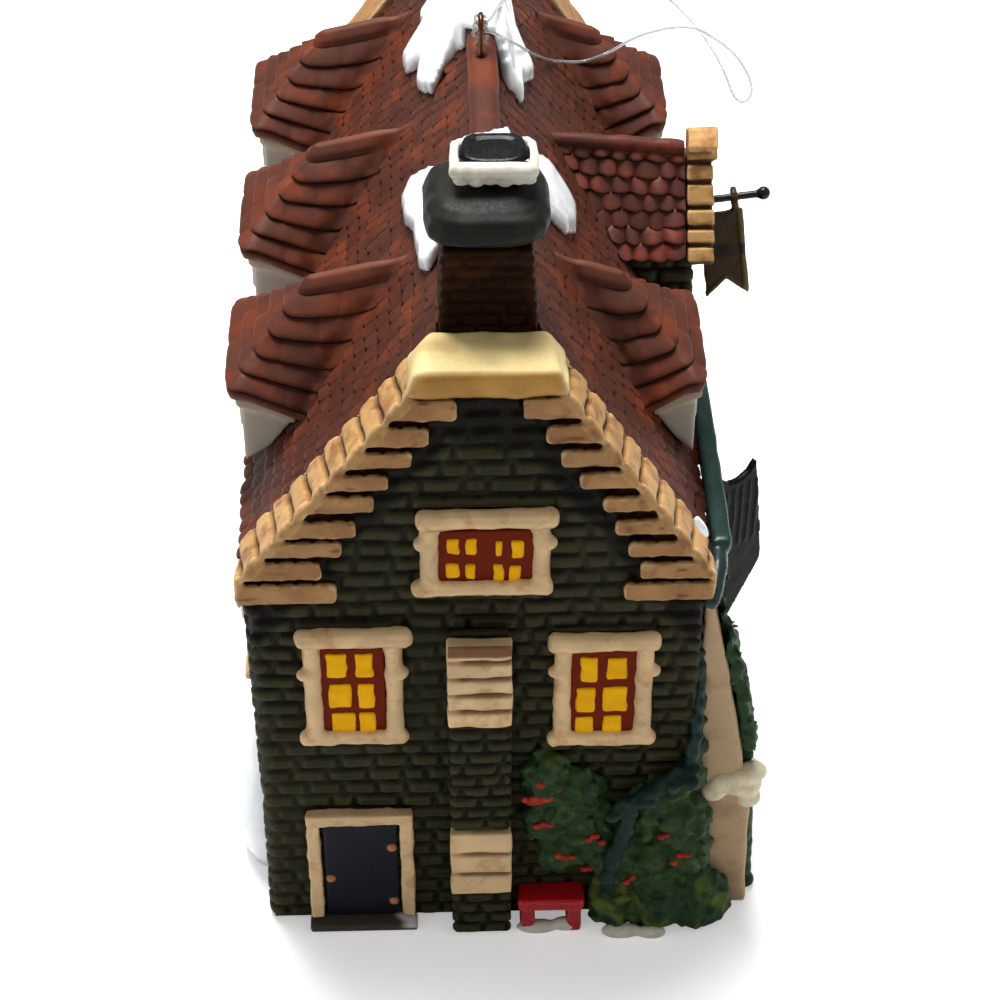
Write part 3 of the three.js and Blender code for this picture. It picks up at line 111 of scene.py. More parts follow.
# %% Node and colour helpers
def srgb(card):
    """A colour card such as #a1b2c3 as linear light."""
    parts = [int(card[i:i + 2], 16) / 255 for i in (1, 3, 5)]
    return tuple(p / 12.92 if p <= 0.04045 else ((p + 0.055) / 1.055) ** 2.4 for p in parts) + (1.0,)


def feed(tree, node, inputs):
    """Sets inputs of a node: each is a value or another node's output."""
    for key, value in inputs.items():
        if isinstance(value, bpy.types.NodeSocket):
            tree.links.new(value, node.inputs[key])
        else:
            node.inputs[key].default_value = value


def add_node(tree, kind, settings=None, inputs=None):
    """A node with its settings, its values and its links."""
    node = tree.nodes.new(kind)
    for key, value in (settings or {}).items():
        setattr(node, key, value)
    feed(tree, node, inputs or {})
    return node


MIX_A, MIX_B, MIX_RESULT = 6, 7, 2


def new_material(name, **inputs):
    """A material, its net of nodes and its shader, with some of the shader's inputs set."""
    material = bpy.data.materials.new(name)
    material.use_nodes = True
    shader = material.node_tree.nodes["Principled BSDF"]
    feed(material.node_tree, shader, {key.replace("_", " "): value for key, value in inputs.items()})
    return material, material.node_tree, shader


def cells_per_metre(size):
    """The scale of a noise whose spots are a size in millimetres."""
    return 1.0 / (size * MM)


# %% [markdown]
# ## The thread
# A clear nylon thread is tied in the wire hanger. It is springy, so its loop stands out over the roof
# and beyond the eave, as the photograph shows. It is a curve with a round section, and it follows the
# same points as the measured model.

# %% Nylon and the thread
nylon, _, _ = new_material("clear nylon monofilament", Base_Color=srgb("#cfd2d2"), Roughness=0.18, IOR=1.53,
                           Transmission_Weight=0.75)

THREAD_DIAMETER = 0.35
THREAD_ROUTE = [
    (0, 1.3, 3.7), (0.8, 2.1, 3.2), (2, 3.5, 1.9), (4.2, 9.4, -2.6), (6.6, 16.6, -8), (9.7, 25, -13.5),
    (12.5, 26.4, -14.3), (15.1, 26.2, -13.2), (18.1, 29.9, -13.6), (21.2, 35.4, -15.6), (24.4, 39, -17),
    (27.2, 40.2, -17.9), (29.1, 39.8, -18.8), (31.6, 38.2, -20.1), (33.1, 37, -21.8), (33.8, 36.3, -23.2),
    (33.9, 35.8, -24.3), (33.5, 35.4, -25.1), (32.7, 35.2, -25.3), (31.9, 35.2, -24.8), (31.4, 35.5, -23.9),
    (31, 36, -23), (30.2, 37, -21.4), (29, 39, -19.9), (27.4, 42, -18.6), (24.4, 45.5, -16.8),
    (21.1, 44.5, -14), (16.6, 40.5, -11), (11.8, 35.5, -8.3), (7.3, 28, -5), (2.5, 12, 1.4),
    (0.8, 2.6, 4.3), (0, 1.3, 4.4),
]


def smooth_route(points, steps):
    """Points on one smooth curve through a route, closer together than the route's own."""
    route = [np.array(p, float) for p in points]
    route = [2 * route[0] - route[1]] + route + [2 * route[-1] - route[-2]]
    result = []
    for i in range(1, len(route) - 2):
        before, start, end, after = route[i - 1:i + 3]
        pairs = ((before, start), (start, end), (end, after))
        gaps = [max(np.linalg.norm(b - a) ** 0.5, 1e-4) for a, b in pairs]
        leave = (start - before) / gaps[0] - (end - before) / (gaps[0] + gaps[1]) + (end - start) / gaps[1]
        reach = (end - start) / gaps[1] - (after - start) / (gaps[1] + gaps[2]) + (after - end) / gaps[2]
        leave, reach = leave * gaps[1], reach * gaps[1]
        for t in np.arange(steps) / steps:
            result.append(start * (2 * t**3 - 3 * t**2 + 1) + leave * (t**3 - 2 * t**2 + t)
                          + end * (3 * t**2 - 2 * t**3) + reach * (t**3 - t**2))
    result.append(route[-2])
    return np.array(result)


def thread_of(name, points):
    """A nylon thread along points in millimetres, which rides with the house."""
    curve = bpy.data.curves.new(name, "CURVE")
    curve.dimensions = "3D"
    curve.bevel_depth = THREAD_DIAMETER / 2 * MM
    curve.bevel_resolution = 3
    curve.use_fill_caps = True
    line = curve.splines.new("POLY")
    line.points.add(len(points) - 1)
    for point, place in zip(line.points, points):
        point.co = (*(np.array(place) * MM), 1)
    cord = bpy.data.objects.new(name, curve)
    scene.collection.objects.link(cord)
    curve.materials.append(nylon)
    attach(cord, "house")
    return cord


thread_points = smooth_route([(x + RIDGE_X, y, z + RIDGE_Z) for x, y, z in THREAD_ROUTE], 6)
thread = thread_of("nylon_loop", thread_points)
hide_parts("hanging_thread")
KNOT_STEP, KNOT_SHRINK = 0.75, 0.12
for curl in range(3):
    middle = np.array([RIDGE_X - 0.15, 1.45 + 0.12 * curl, RIDGE_Z + 3.4 + KNOT_STEP * curl])
    size = 0.78 - KNOT_SHRINK * curl
    ring = [middle + (size * math.cos(a), 0.22 * math.sin(2 * a + curl), size * math.sin(a))
            for a in np.linspace(0, 2 * math.pi * 0.96, 26)]
    thread_of(f"nylon_knot_{curl + 1}", ring)

# %% [markdown]
# ## Cast clay
# The walls, the snow and the stones are one casting, so no edge on it is sharp. Three ways were open:
# bevelled edges, sculpting, or a voxel remesh that melts several closed shapes into one and rounds them.
# The remesh is used, because it also joins shapes as a mould does. Points are then pushed in or out
# along their normals by simple rules, which gives grooves, dents and lumps.

# %% Chance and softness
CHANCE = np.random.default_rng(7).uniform(-1, 1, 4096)


def chance(a, b, seed):
    """A fixed random number from 0 to 1 for a pair of counts."""
    return np.mod(np.sin(a * 127.1 + b * 311.7 + seed * 74.7) * 43758.5453, 1.0)


def wander(points, size, seed=0):
    """Smooth chance from -1 to 1 that changes over a size in millimetres."""
    place = np.asarray(points, float) / size + seed * 17.31
    cell = np.floor(place).astype(np.int64)
    part = place - cell
    part = part * part * (3 - 2 * part)
    total = np.zeros(place.shape[:-1])
    for corner in range(8):
        step = np.array([corner & 1, corner >> 1 & 1, corner >> 2 & 1])
        weight = np.prod(np.where(step == 1, part, 1 - part), axis=-1)
        key = (cell + step) * np.array([73856093, 19349663, 83492791])
        total += weight * CHANCE[(key[..., 0] ^ key[..., 1] ^ key[..., 2]) % 4096]
    return total


def ease(value, low, high):
    """0 below low, 1 above high, and smooth between."""
    t = np.clip((value - low) / (high - low), 0, 1)
    return t * t * (3 - 2 * t)


def soften(values, edges, times):
    """Each value drawn halfway to the mean of its neighbours, a number of times."""
    count = len(values)
    ends = np.concatenate([edges[:, 0], edges[:, 1]])
    others = np.concatenate([edges[:, 1], edges[:, 0]])
    share = 1 / np.maximum(np.bincount(ends, minlength=count), 1)
    flat = values.reshape(count, -1).astype(float)
    for _ in range(times):
        mean = np.stack([np.bincount(ends, row[others], count) for row in flat.T], 1) * share[:, None]
        flat = (flat + mean) / 2
    return flat.reshape(values.shape)


# %% Mesh helpers
def new_mesh(name, points, faces, marks=None):
    """A mesh from points in millimetres, with its faces turned outward and a number for each point."""
    mesh = bpy.data.meshes.new(name)
    mesh.from_pydata((np.asarray(points, float) * MM).tolist(), [], faces)
    for key, values in (marks or {}).items():
        mesh.attributes.new(key, "FLOAT", "POINT").data.foreach_set("value", np.asarray(values, np.float32))
    form = bmesh.new()
    form.from_mesh(mesh)
    bmesh.ops.remove_doubles(form, verts=form.verts, dist=1e-7)
    bmesh.ops.recalc_face_normals(form, faces=form.faces)
    form.to_mesh(mesh)
    form.free()
    mesh.shade_smooth()
    return mesh


def new_piece(name, mesh):
    """An object that shows a mesh."""
    piece = bpy.data.objects.new(name, mesh)
    scene.collection.objects.link(piece)
    return piece


def read(piece):
    """A piece's points in millimetres, and its normals."""
    points = np.empty(len(piece.data.vertices) * 3)
    normals = np.empty_like(points)
    piece.data.vertices.foreach_get("co", points)
    piece.data.vertices.foreach_get("normal", normals)
    return points.reshape(-1, 3) / MM, normals.reshape(-1, 3)


def mark(piece, **marks):
    """Numbers for each point of a piece, which a material can read."""
    for key, values in marks.items():
        layer = piece.data.attributes.new(key, "FLOAT", "POINT")
        layer.data.foreach_set("value", np.asarray(values, np.float32))


def shape(piece, move):
    """Moves each point by what move(points) gives: millimetres along the normal, or a vector."""
    points, normals = read(piece)
    change = move(points)
    moved = points + (normals * change[:, None] if change.ndim == 1 else change)
    piece.data.vertices.foreach_set("co", (moved * MM).ravel())
    piece.data.update()


def hollows(piece, reach):
    """How deep each point lies in a hollow, where paint pools, or how high on an edge, where it rubs off."""
    points, normals = read(piece)
    edges = np.empty(len(piece.data.edges) * 2, int)
    piece.data.edges.foreach_get("vertices", edges)
    return ((soften(points, edges.reshape(-1, 2), reach) - points) * normals).sum(1)


def cast(name, sources, voxel, rounds):
    """One cast piece: closed shapes or measured pieces melted together in voxels of a size, then softened."""
    form = bmesh.new()
    for source in sources:
        form.from_mesh(nodes[source].data if isinstance(source, str) else source)
    mesh = bpy.data.meshes.new(name)
    form.to_mesh(mesh)
    form.free()
    piece = new_piece(name, mesh)
    clay = piece.modifiers.new("clay", "REMESH")
    clay.mode = "VOXEL"
    clay.voxel_size = voxel * MM
    if rounds:
        sponge = piece.modifiers.new("sponge", "SMOOTH")
        sponge.factor = 0.5
        sponge.iterations = rounds
    dry = bpy.data.meshes.new_from_object(piece.evaluated_get(bpy.context.evaluated_depsgraph_get()))
    piece.modifiers.clear()
    piece.data = dry
    dry.name = name
    dry.shade_smooth()
    bpy.data.meshes.remove(mesh)
    return piece


def prism(outline, low, high, axis="y"):
    """A closed shape: an outline swept from low to high along an axis."""
    order = {"x": (2, 0, 1), "y": (0, 2, 1)}[axis]
    ring = [[a, b, low] for a, b in outline] + [[a, b, high] for a, b in outline]
    points = np.array(ring, float)[:, order]
    count = len(outline)
    faces = [list(range(count)), list(range(2 * count - 1, count - 1, -1))]
    faces += [[i, (i + 1) % count, (i + 1) % count + count, i + count] for i in range(count)]
    return new_mesh("prism", points, faces)


def lump(place, half, turn=None):
    """A closed egg with three half sizes, turned by a matrix."""
    form = bmesh.new()
    bmesh.ops.create_icosphere(form, subdivisions=2, radius=1)
    points = np.array([v.co for v in form.verts]) * np.array(half)
    if turn is not None:
        points = points @ np.array(turn).T
    for vertex, point in zip(form.verts, points + np.array(place)):
        vertex.co = Vector(point) * MM
    mesh = bpy.data.meshes.new("lump")
    form.to_mesh(mesh)
    form.free()
    return mesh


def roll(points, radius, sides=10):
    """A closed round bar through points."""
    points = np.array(points, float)
    along = np.gradient(points, axis=0)
    along /= np.linalg.norm(along, axis=1)[:, None]
    side = np.cross(along, (0.13, 0.21, 0.97))
    side /= np.linalg.norm(side, axis=1)[:, None]
    other = np.cross(along, side)
    turns = np.arange(sides) / sides * 2 * math.pi
    radius = np.broadcast_to(np.asarray(radius, float), len(points))
    rings = points[:, None] + radius[:, None, None] * (
        side[:, None] * np.cos(turns)[None, :, None] + other[:, None] * np.sin(turns)[None, :, None])
    faces = [[r * sides + i, r * sides + j, (r + 1) * sides + j, (r + 1) * sides + i]
             for r in range(len(points) - 1) for i, j in zip(range(sides), [*range(1, sides), 0])]
    faces += [list(range(sides)), list(range((len(points) - 1) * sides, len(points) * sides))]
    return new_mesh("roll", rings.reshape(-1, 3), faces)


def grid_faces(rows, columns):
    """The numbers of a grid's points, and the four-sided faces between them."""
    grid = np.arange(rows * columns).reshape(rows, columns)
    corners = [grid[:-1, :-1], grid[:-1, 1:], grid[1:, 1:], grid[1:, :-1]]
    return grid, np.stack(corners, -1).reshape(-1, 4).tolist()


def relief(name, face, rear_low, rear_high, **marks):
    """A closed panel: a grid of points for its face, and a plain back between its bottom and its top row."""
    rows, columns = face.shape[:2]
    first = rows * columns
    top = first + columns
    grid, faces = grid_faces(rows, columns)
    for i in range(columns - 1):
        faces.append([i, first + i, first + i + 1, i + 1])
        faces.append([first + i, top + i, top + i + 1, first + i + 1])
        faces.append([top + i, first - columns + i, first - columns + i + 1, top + i + 1])
    faces.append(grid[:, 0].tolist() + [top, first])
    faces.append(grid[:, -1].tolist() + [top + columns - 1, top - 1])
    points = np.concatenate([face.reshape(-1, 3), rear_low, rear_high])
    spare = np.zeros(len(points) - first)
    marks = {key: np.concatenate([values.ravel(), spare]) for key, values in marks.items()}
    return new_piece(name, new_mesh(name, points, faces, marks))


def settle(piece, material, slot, *replaced, reach=4, body="house"):
    """Gives a piece its finish, its body and the measured pieces that it stands for.

    reach is how wide the hollows are in which paint pools; 0 leaves them out.
    """
    if reach:
        mark(piece, hollow=hollows(piece, reach))
    piece.data.materials.clear()
    piece.data.materials.append(material)
    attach(piece, body)
    if replaced:
        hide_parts(*replaced)
    print(f"{piece.name}: {len(piece.data.polygons)} faces")


# %% [markdown]
# ## Paint on bisque porcelain
# Fired porcelain without a glaze is called bisque. Here it is painted by hand in thin coats. A darker wash
# runs into the hollows, a drier brush leaves a light tone on the edges, and broad patches vary the ground.
# The result is satin, with an IOR near 1.5 and a roughness near 0.5. The material reads four marks of the
# mesh:
# hollow; tone; stain, which takes the wash colour for stains and for painted shade under and
# between the stones; and second for places in the patch colour.

# %% Painted porcelain
DARKEST, LIGHTEST = 0.72, 1.3
STROKE_HEIGHT = 0.06


def painted(name, ground, patch, wash, rub, roughness=0.5, patch_size=2.5, patch_share=0.5, pool=0.03,
            rub_share=0.35, stroke=0.35, coat=0.0, sheen=0.14):
    """A hand-painted finish: ground and patch colours, a wash for hollows and a rubbed tone for edges."""
    material, tree, shader = new_material(name)
    place = add_node(tree, "ShaderNodeTexCoord").outputs["Object"]
    patches, strokes = [
        add_node(tree, "ShaderNodeTexNoise", inputs={
            "Vector": place, "Scale": cells_per_metre(size), "Detail": detail, "Roughness": fineness,
        }).outputs["Fac"] for size, detail, fineness in ((patch_size, 3.0, 0.6), (stroke, 2.0, 0.55))]
    # stain carries stains and, on some stones, painted shade under them and between them
    second, tone, hollow, stain = [
        add_node(tree, "ShaderNodeAttribute", {"attribute_name": key}).outputs["Fac"]
        for key in ("second", "tone", "hollow", "stain")]
    share = add_node(tree, "ShaderNodeMapRange", inputs={
        "Value": patches, "From Min": 0.62 - patch_share * 0.3, "From Max": 0.8 - patch_share * 0.3})
    area = add_node(tree, "ShaderNodeMath", {"operation": "MAXIMUM"}, {
        0: share.outputs["Result"], 1: second})
    coats = add_node(tree, "ShaderNodeMix", {"data_type": "RGBA"}, {
        0: area.outputs["Value"], MIX_A: srgb(ground), MIX_B: srgb(patch)})
    streak = add_node(tree, "ShaderNodeMath", {"operation": "MULTIPLY_ADD"}, {0: strokes, 1: 0.9, 2: tone})
    level = add_node(tree, "ShaderNodeMapRange", inputs={
        "Value": streak.outputs["Value"], "From Min": -0.6, "From Max": 1.5,
        "To Min": DARKEST, "To Max": LIGHTEST})
    toned = add_node(tree, "ShaderNodeVectorMath", {"operation": "SCALE"}, {
        0: coats.outputs[MIX_RESULT], "Scale": level.outputs["Result"]})
    uneven = add_node(tree, "ShaderNodeMath", {"operation": "MULTIPLY_ADD"}, {
        0: strokes, 1: pool * 0.8, 2: hollow}).outputs["Value"]
    pooled = add_node(tree, "ShaderNodeMapRange", inputs={
        "Value": uneven, "From Min": pool * 0.9, "From Max": pool * 2.6})
    washed = add_node(tree, "ShaderNodeMath", {"operation": "MAXIMUM"}, {
        0: pooled.outputs["Result"], 1: stain})
    lightened = add_node(tree, "ShaderNodeMapRange", inputs={
        "Value": uneven, "From Min": -pool * 0.1, "From Max": -pool * 1.6, "To Max": rub_share})
    lighter = add_node(tree, "ShaderNodeMix", {"data_type": "RGBA"}, {
        0: lightened.outputs["Result"], MIX_A: toned.outputs["Vector"], MIX_B: srgb(rub)})
    colour = add_node(tree, "ShaderNodeMix", {"data_type": "RGBA"}, {
        0: washed.outputs["Value"], MIX_A: lighter.outputs[MIX_RESULT], MIX_B: srgb(wash)})
    gloss = add_node(tree, "ShaderNodeMapRange", inputs={
        "Value": strokes, "From Min": 0.3, "From Max": 0.7,
        "To Min": roughness - 0.08, "To Max": roughness + 0.08})
    grain = add_node(tree, "ShaderNodeBump", inputs={
        "Height": strokes, "Strength": 0.35, "Distance": STROKE_HEIGHT * MM})
    feed(tree, shader, {
        "Base Color": colour.outputs[MIX_RESULT], "Roughness": gloss.outputs["Result"],
        "Normal": grain.outputs["Normal"], "IOR": 1.5, "Specular IOR Level": sheen,
        "Coat Weight": coat, "Coat Roughness": 0.2})
    return material


brick_paint = painted("dark brick paint on bisque", "#282613", "#242716", "#0b0904", "#42402a",
                      patch_size=4, pool=0.04, rub_share=0.42, sheen=0.07)

# %% [markdown]
# ## Brick walls
# The walls are cast with long thin bricks in running bond, a little uneven, with soft wide joints.
# One courses' rule gives the height of every point, so the bricks are real relief and not only a bump.
# The relief is a skin of five closed panels that goes round the measured walls and has rounded corners.

# %% Brick rule
BRICK_LENGTH = 3.7
BRICK_COURSE = 2.0
BRICK_JOINT = 0.58
BRICK_RELIEF = 0.42


def bond(across, row, jitter, seed):
    """The brick or shingle of a row in which each place lies, and its uneven ends, counted in lengths."""
    def end(count):
        return count + jitter * (chance(count, row, seed) - 0.5)

    cell = np.floor(across)
    cell = np.where(across < end(cell), cell - 1, cell)
    cell = np.where(across > end(cell + 1), cell + 1, cell)
    return cell, end(cell), end(cell + 1)


def brickwork(along, up, seed=0, length=BRICK_LENGTH, course=BRICK_COURSE, joint=BRICK_JOINT):
    """How far each place stands out of the joints, from 0 to 1, and the tone of its brick."""
    place = np.stack([along, up, np.full_like(along, seed * 3.0)], -1)
    up = up + 0.1 * course * wander(place, 2.6 * course, seed)
    along = along + 0.06 * length * wander(place, 1.1 * length, seed + 1)
    row = np.floor(up / course)
    low = up - row * course
    across = along / length - 0.5 * np.mod(row, 2) - 0.3 * (chance(row, 3, seed) - 0.5)
    cell, left, right = bond(across, row, 0.44, seed)
    ends = np.minimum(across - left, right - across) * length - joint / 2
    beds = np.minimum(low, course - low) - joint * 0.42
    edge = -np.log(np.exp(-7 * ends) + np.exp(-7 * beds)) / 7
    edge = edge + 0.1 * wander(place, 0.9, seed + 2)
    return ease(edge, -0.14, 0.3), chance(cell, row, seed + 5) * 2 - 1


# %% Wall skin
CORNER = 0.9
QUARTER = math.pi * CORNER / 2
HALF_FRONT = WALL_X - CORNER
HALF_TURN = HALF_FRONT + QUARTER
SIDE_RUN = BACK - FRONT - 2 * CORNER
HALF_WALK = 2 * HALF_TURN + SIDE_RUN


def wall_walk(walk):
    """The place and the outward direction after a walk round the walls from the middle of the front."""
    far = np.abs(walk)
    turn = np.clip((far - HALF_FRONT) / QUARTER, 0, 1) + np.clip((far - HALF_TURN - SIDE_RUN) / QUARTER, 0, 1)
    angle = (turn - 1) * math.pi / 2
    out = np.stack([np.cos(angle) * np.sign(walk + 1e-9), np.sin(angle), np.zeros_like(far)], -1)
    x = np.minimum(far, HALF_FRONT) - np.clip(far - HALF_WALK + HALF_FRONT, 0, None)
    y = FRONT + CORNER + np.clip(far - HALF_TURN, 0, SIDE_RUN)
    centre = np.stack([x * np.sign(walk + 1e-9), y, np.zeros_like(far)], -1)
    return centre + CORNER * out, out


# Brick hoods over the gable windows: left end, right end, underside and top
HOODS = [(-6.2, 8.0, 60.2, 61.5), (-18.4, -8.2, 44.4, 45.4), (7.6, 18.4, 43.4, 44.3)]


GABLE_TOP = 74.4
SKIN_LIFT = 0.14
SKIN_DEPTH = 0.5
HOOD_OUT = 0.62
UNDER_ROOF = 2.0


def brick_wall(name, start, end, step, rows, limit=RIDGE_Z):
    """One panel of the brick skin between two walks; step is between its columns, and limit is its top."""
    walk = np.linspace(start, end, int((end - start) / step))
    foot, out = wall_walk(walk)
    side = np.where(foot[:, 0] < RIDGE_X, -1, 1)
    slope = np.where(side < 0, SLOPE[-1], SLOPE[1])
    stretch = np.where(side < 0, STRETCH[-1], STRETCH[1])
    tops = np.minimum(RIDGE_Z - slope * np.abs(foot[:, 0] - RIDGE_X) - UNDER_ROOF * stretch, limit)
    up = np.linspace(0, 1, rows)[:, None] * tops[None, :]
    along = np.broadcast_to(walk + (2 * HALF_WALK if start == -HALF_WALK else 0), up.shape)
    out_of_joint, tone = brickwork(along, up, 1)
    place = np.stack([along, up, np.zeros_like(up)], -1)
    bulge = 0.85 + 0.25 * wander(place, 6, 3)
    height = SKIN_LIFT + BRICK_RELIEF * out_of_joint * bulge + 0.06 * wander(place, 3, 4)
    stain = np.zeros_like(up)
    if limit < RIDGE_Z:
        for x0, x1, z0, z1 in HOODS:
            hood = np.minimum(ease(along, x0, x0 + 0.5) - ease(along, x1 - 0.5, x1),
                              ease(up, z0, z0 + 0.35) - ease(up, z1 - 0.3, z1))
            height = height * (1 - hood) + HOOD_OUT * hood
            stain = np.maximum(stain, ease(up, z1 - 0.1, z1 + 0.1) * ease(-up, -z1 - 0.45, -z1 - 0.3)
                               * ease(along, x0, x0 + 0.4) * ease(-along, -x1, 0.4 - x1) * 0.8)
    # Painted shade: the wall is darkened in a band under the rake, where it shows between the long stones
    if abs(start) < HALF_WALK / 2 and abs(end) < HALF_WALK / 2:
        inward = (tops[None, :] - up) / slope
        stain = np.maximum(stain, 0.9 * ease(-inward + 0.8 * wander(place, 1.5, 6), -5.2, -3.6))
    height -= 0.5 * (1 - ease(up, -0.6, 1.5)) ** 2
    face = foot[None] + out[None] * height[..., None]
    face[..., 2] = up
    rear_low = foot - SKIN_DEPTH * out
    rear_high = rear_low + np.stack([0 * tops, 0 * tops, tops], -1)
    wall = relief(name, face, rear_low, rear_high, tone=tone, stain=stain)
    settle(wall, brick_paint, "brick_paint", reach=6)


TURN_END = HALF_TURN + 0.2
brick_wall("brick_front", -TURN_END, TURN_END, 0.25, 300, GABLE_TOP)
brick_wall("brick_street_side", TURN_END, HALF_WALK - TURN_END, 0.42, 130)
brick_wall("brick_lane_side", TURN_END - HALF_WALK, -TURN_END, 0.42, 130)
brick_wall("brick_rear_right", HALF_WALK - TURN_END, HALF_WALK, 0.42, 180)
brick_wall("brick_rear_left", -HALF_WALK, TURN_END - HALF_WALK, 0.42, 180)

# %% [markdown]
# The inside and the underside of the casting are bare porcelain, which shows at the drain hole.
# The measured walls stay under the brick skin. Their outer faces have the colour of the joints.

# %% Bare porcelain inside
PAINTED_RIM = 1.9
bare, tree, shader = new_material("bare bisque porcelain with painted outer faces", Roughness=0.62, IOR=1.5)
place = add_node(tree, "ShaderNodeSeparateXYZ", inputs={
    0: add_node(tree, "ShaderNodeTexCoord").outputs["Object"]})
beyond = []
for axis, edge in (("X", WALL_X), ("Y", BACK)):
    far = add_node(tree, "ShaderNodeMath", {"operation": "ABSOLUTE"}, {0: place.outputs[axis]})
    beyond.append(add_node(tree, "ShaderNodeMath", {"operation": "GREATER_THAN"}, {
        0: far.outputs["Value"], 1: (edge - PAINTED_RIM) * MM}).outputs["Value"])
outside = add_node(tree, "ShaderNodeMath", {"operation": "MAXIMUM"}, dict(enumerate(beyond)))
speckle = add_node(tree, "ShaderNodeTexNoise", inputs={"Scale": cells_per_metre(0.8), "Detail": 3.0})
clay_tone = add_node(tree, "ShaderNodeMix", {"data_type": "RGBA"}, {
    0: speckle.outputs["Fac"], MIX_A: srgb("#ddd6ca"), MIX_B: srgb("#ece7de")})
skin_tone = add_node(tree, "ShaderNodeMix", {"data_type": "RGBA"}, {
    0: outside.outputs["Value"], MIX_A: clay_tone.outputs[MIX_RESULT], MIX_B: srgb("#17150c")})
feed(tree, shader, {"Base Color": skin_tone.outputs[MIX_RESULT]})
nodes["house_walls"].material_slots[0].material = bare


# %% Pier, bay and chimney stack in brick
def lay_bricks(piece, seed, height=BRICK_RELIEF, **sizes):
    """Presses brick relief into the upright faces of a piece."""
    points, normals = read(piece)
    along = np.where(np.abs(normals[:, 0]) > 0.7, points[:, 1], points[:, 0])
    out_of_joint, tone = brickwork(along, points[:, 2], seed, **sizes)
    upright = ease(np.hypot(normals[:, 0], normals[:, 1]), 0.5, 0.9)
    shape(piece, lambda p: (out_of_joint - 0.55) * height * upright + 0.05 * wander(p, 2.5, seed))
    mark(piece, tone=tone)


pier = cast("brick_pier", ["pier"], 0.26, 3)
lay_bricks(pier, 4, length=3.3, course=1.7)
settle(pier, brick_paint, "brick_paint", "pier", reach=6)

bay = cast("brick_bay", ["cross_gable_wall"], 0.36, 2)
lay_bricks(bay, 6)
settle(bay, brick_paint, "brick_paint", "cross_gable_wall", reach=6)

stack_paint = painted("dark brown brick paint on bisque", "#221005", "#2e1806", "#080402", "#3a200c",
                      patch_size=2, pool=0.04, rub_share=0.3, sheen=0.05)
stack = cast("brick_stack", ["chimney_stack"], 0.26, 3)
lay_bricks(stack, 9, height=0.2, length=2.9, course=1.32, joint=0.36)
settle(stack, stack_paint, "stack_paint", "chimney_stack", reach=6)

# %% [markdown]
# ## Shingle roofs
# The roofs are cast as lapped courses: each course ends in a thick rounded lip that hangs over the one
# below, with a dark shadow under it. A bump map can't give that shadow, so the rows of the mesh follow
# the courses and the lip is real. Small shingles cover the main roof, long ones the dormers, and round
# scales the cross gable.

# %% Shingle rule
shingle_paint = painted("maroon shingle paint on bisque", "#4b281e", "#68301c", "#1a0a05", "#784838",
                        roughness=0.55, patch_size=5, patch_share=0.4, pool=0.045)

# Each row of a course: how far up the course it lies, and how far out of the course's lip it stands
LAP_ROWS = [(0.03, 0.0), (-0.06, 0.55), (-0.05, 0.85), (0.02, 1.0),
            (0.16, 0.97), (0.36, 0.8), (0.58, 0.6), (0.82, 0.36)]


def lap(courses):
    """The rows of lapped courses: the number of the course, the share up it and the height of the lip."""
    rows = [(course, up, lip) for course in range(courses) for up, lip in LAP_ROWS]
    return [np.array(part, float)[:, None] for part in zip(*rows)]


def shingles(along, course, width, seed):
    """The place across its shingle from -1 to 1, the distance to its joint and a chance for each point."""
    across = along / width - 0.5 * np.mod(course, 2) - 0.3 * chance(course, 5, seed)
    cell, left, right = bond(across, course, 0.35, seed)
    middle = (across - left) / (right - left) * 2 - 1
    joint = np.minimum(across - left, right - across) * width
    return middle, joint, chance(cell, course, seed + 3) * 2 - 1


def lay_course(along, course, up, lip, pitch, width, thickness, tongue, joint_depth, seed, uneven=1.0):
    """The way up a slope, the height and the tone of points in lapped courses.

    pitch, width and thickness are a shingle's; tongue is how far its middle hangs lower than its ends.
    """
    middle, joint, tone = shingles(along, course, width, seed)
    place = np.stack([along, course * pitch, np.full_like(along, seed * 5.0)], -1)
    shift = tongue * (middle ** 2 - 0.4) + uneven * pitch * (0.09 * wander(place, 2.2, seed) + 0.05 * tone)
    way = (course + up) * pitch + shift * (1 - np.clip(up, 0, 1))
    groove = 1 - joint_depth * np.exp(-(joint / 0.17) ** 2)
    rough = 0.8 + 0.3 * uneven * wander(place, 2.8, seed + 1)
    height = thickness * lip * rough * (1 - 0.25 * middle ** 4) * groove
    return way, height, tone


# %% Main roof
ROOF_PITCH = 1.95
ROOF_FRONT = -39.1
ROOF_REAR = 39.1
ROOF_COLUMNS = 262
SHINGLE_WIDTH, SHINGLE_THICKNESS = 2.1, 0.52
STACK_LEFT, STACK_RIGHT, STACK_FRONT = -3.6, 6.5, -37.0


def slope_frame(side):
    """The directions up and out of a roof slope."""
    up = np.array([-side, 0, SLOPE[side]]) / STRETCH[side]
    out = np.array([side * SLOPE[side], 0, 1]) / STRETCH[side]
    return up, out


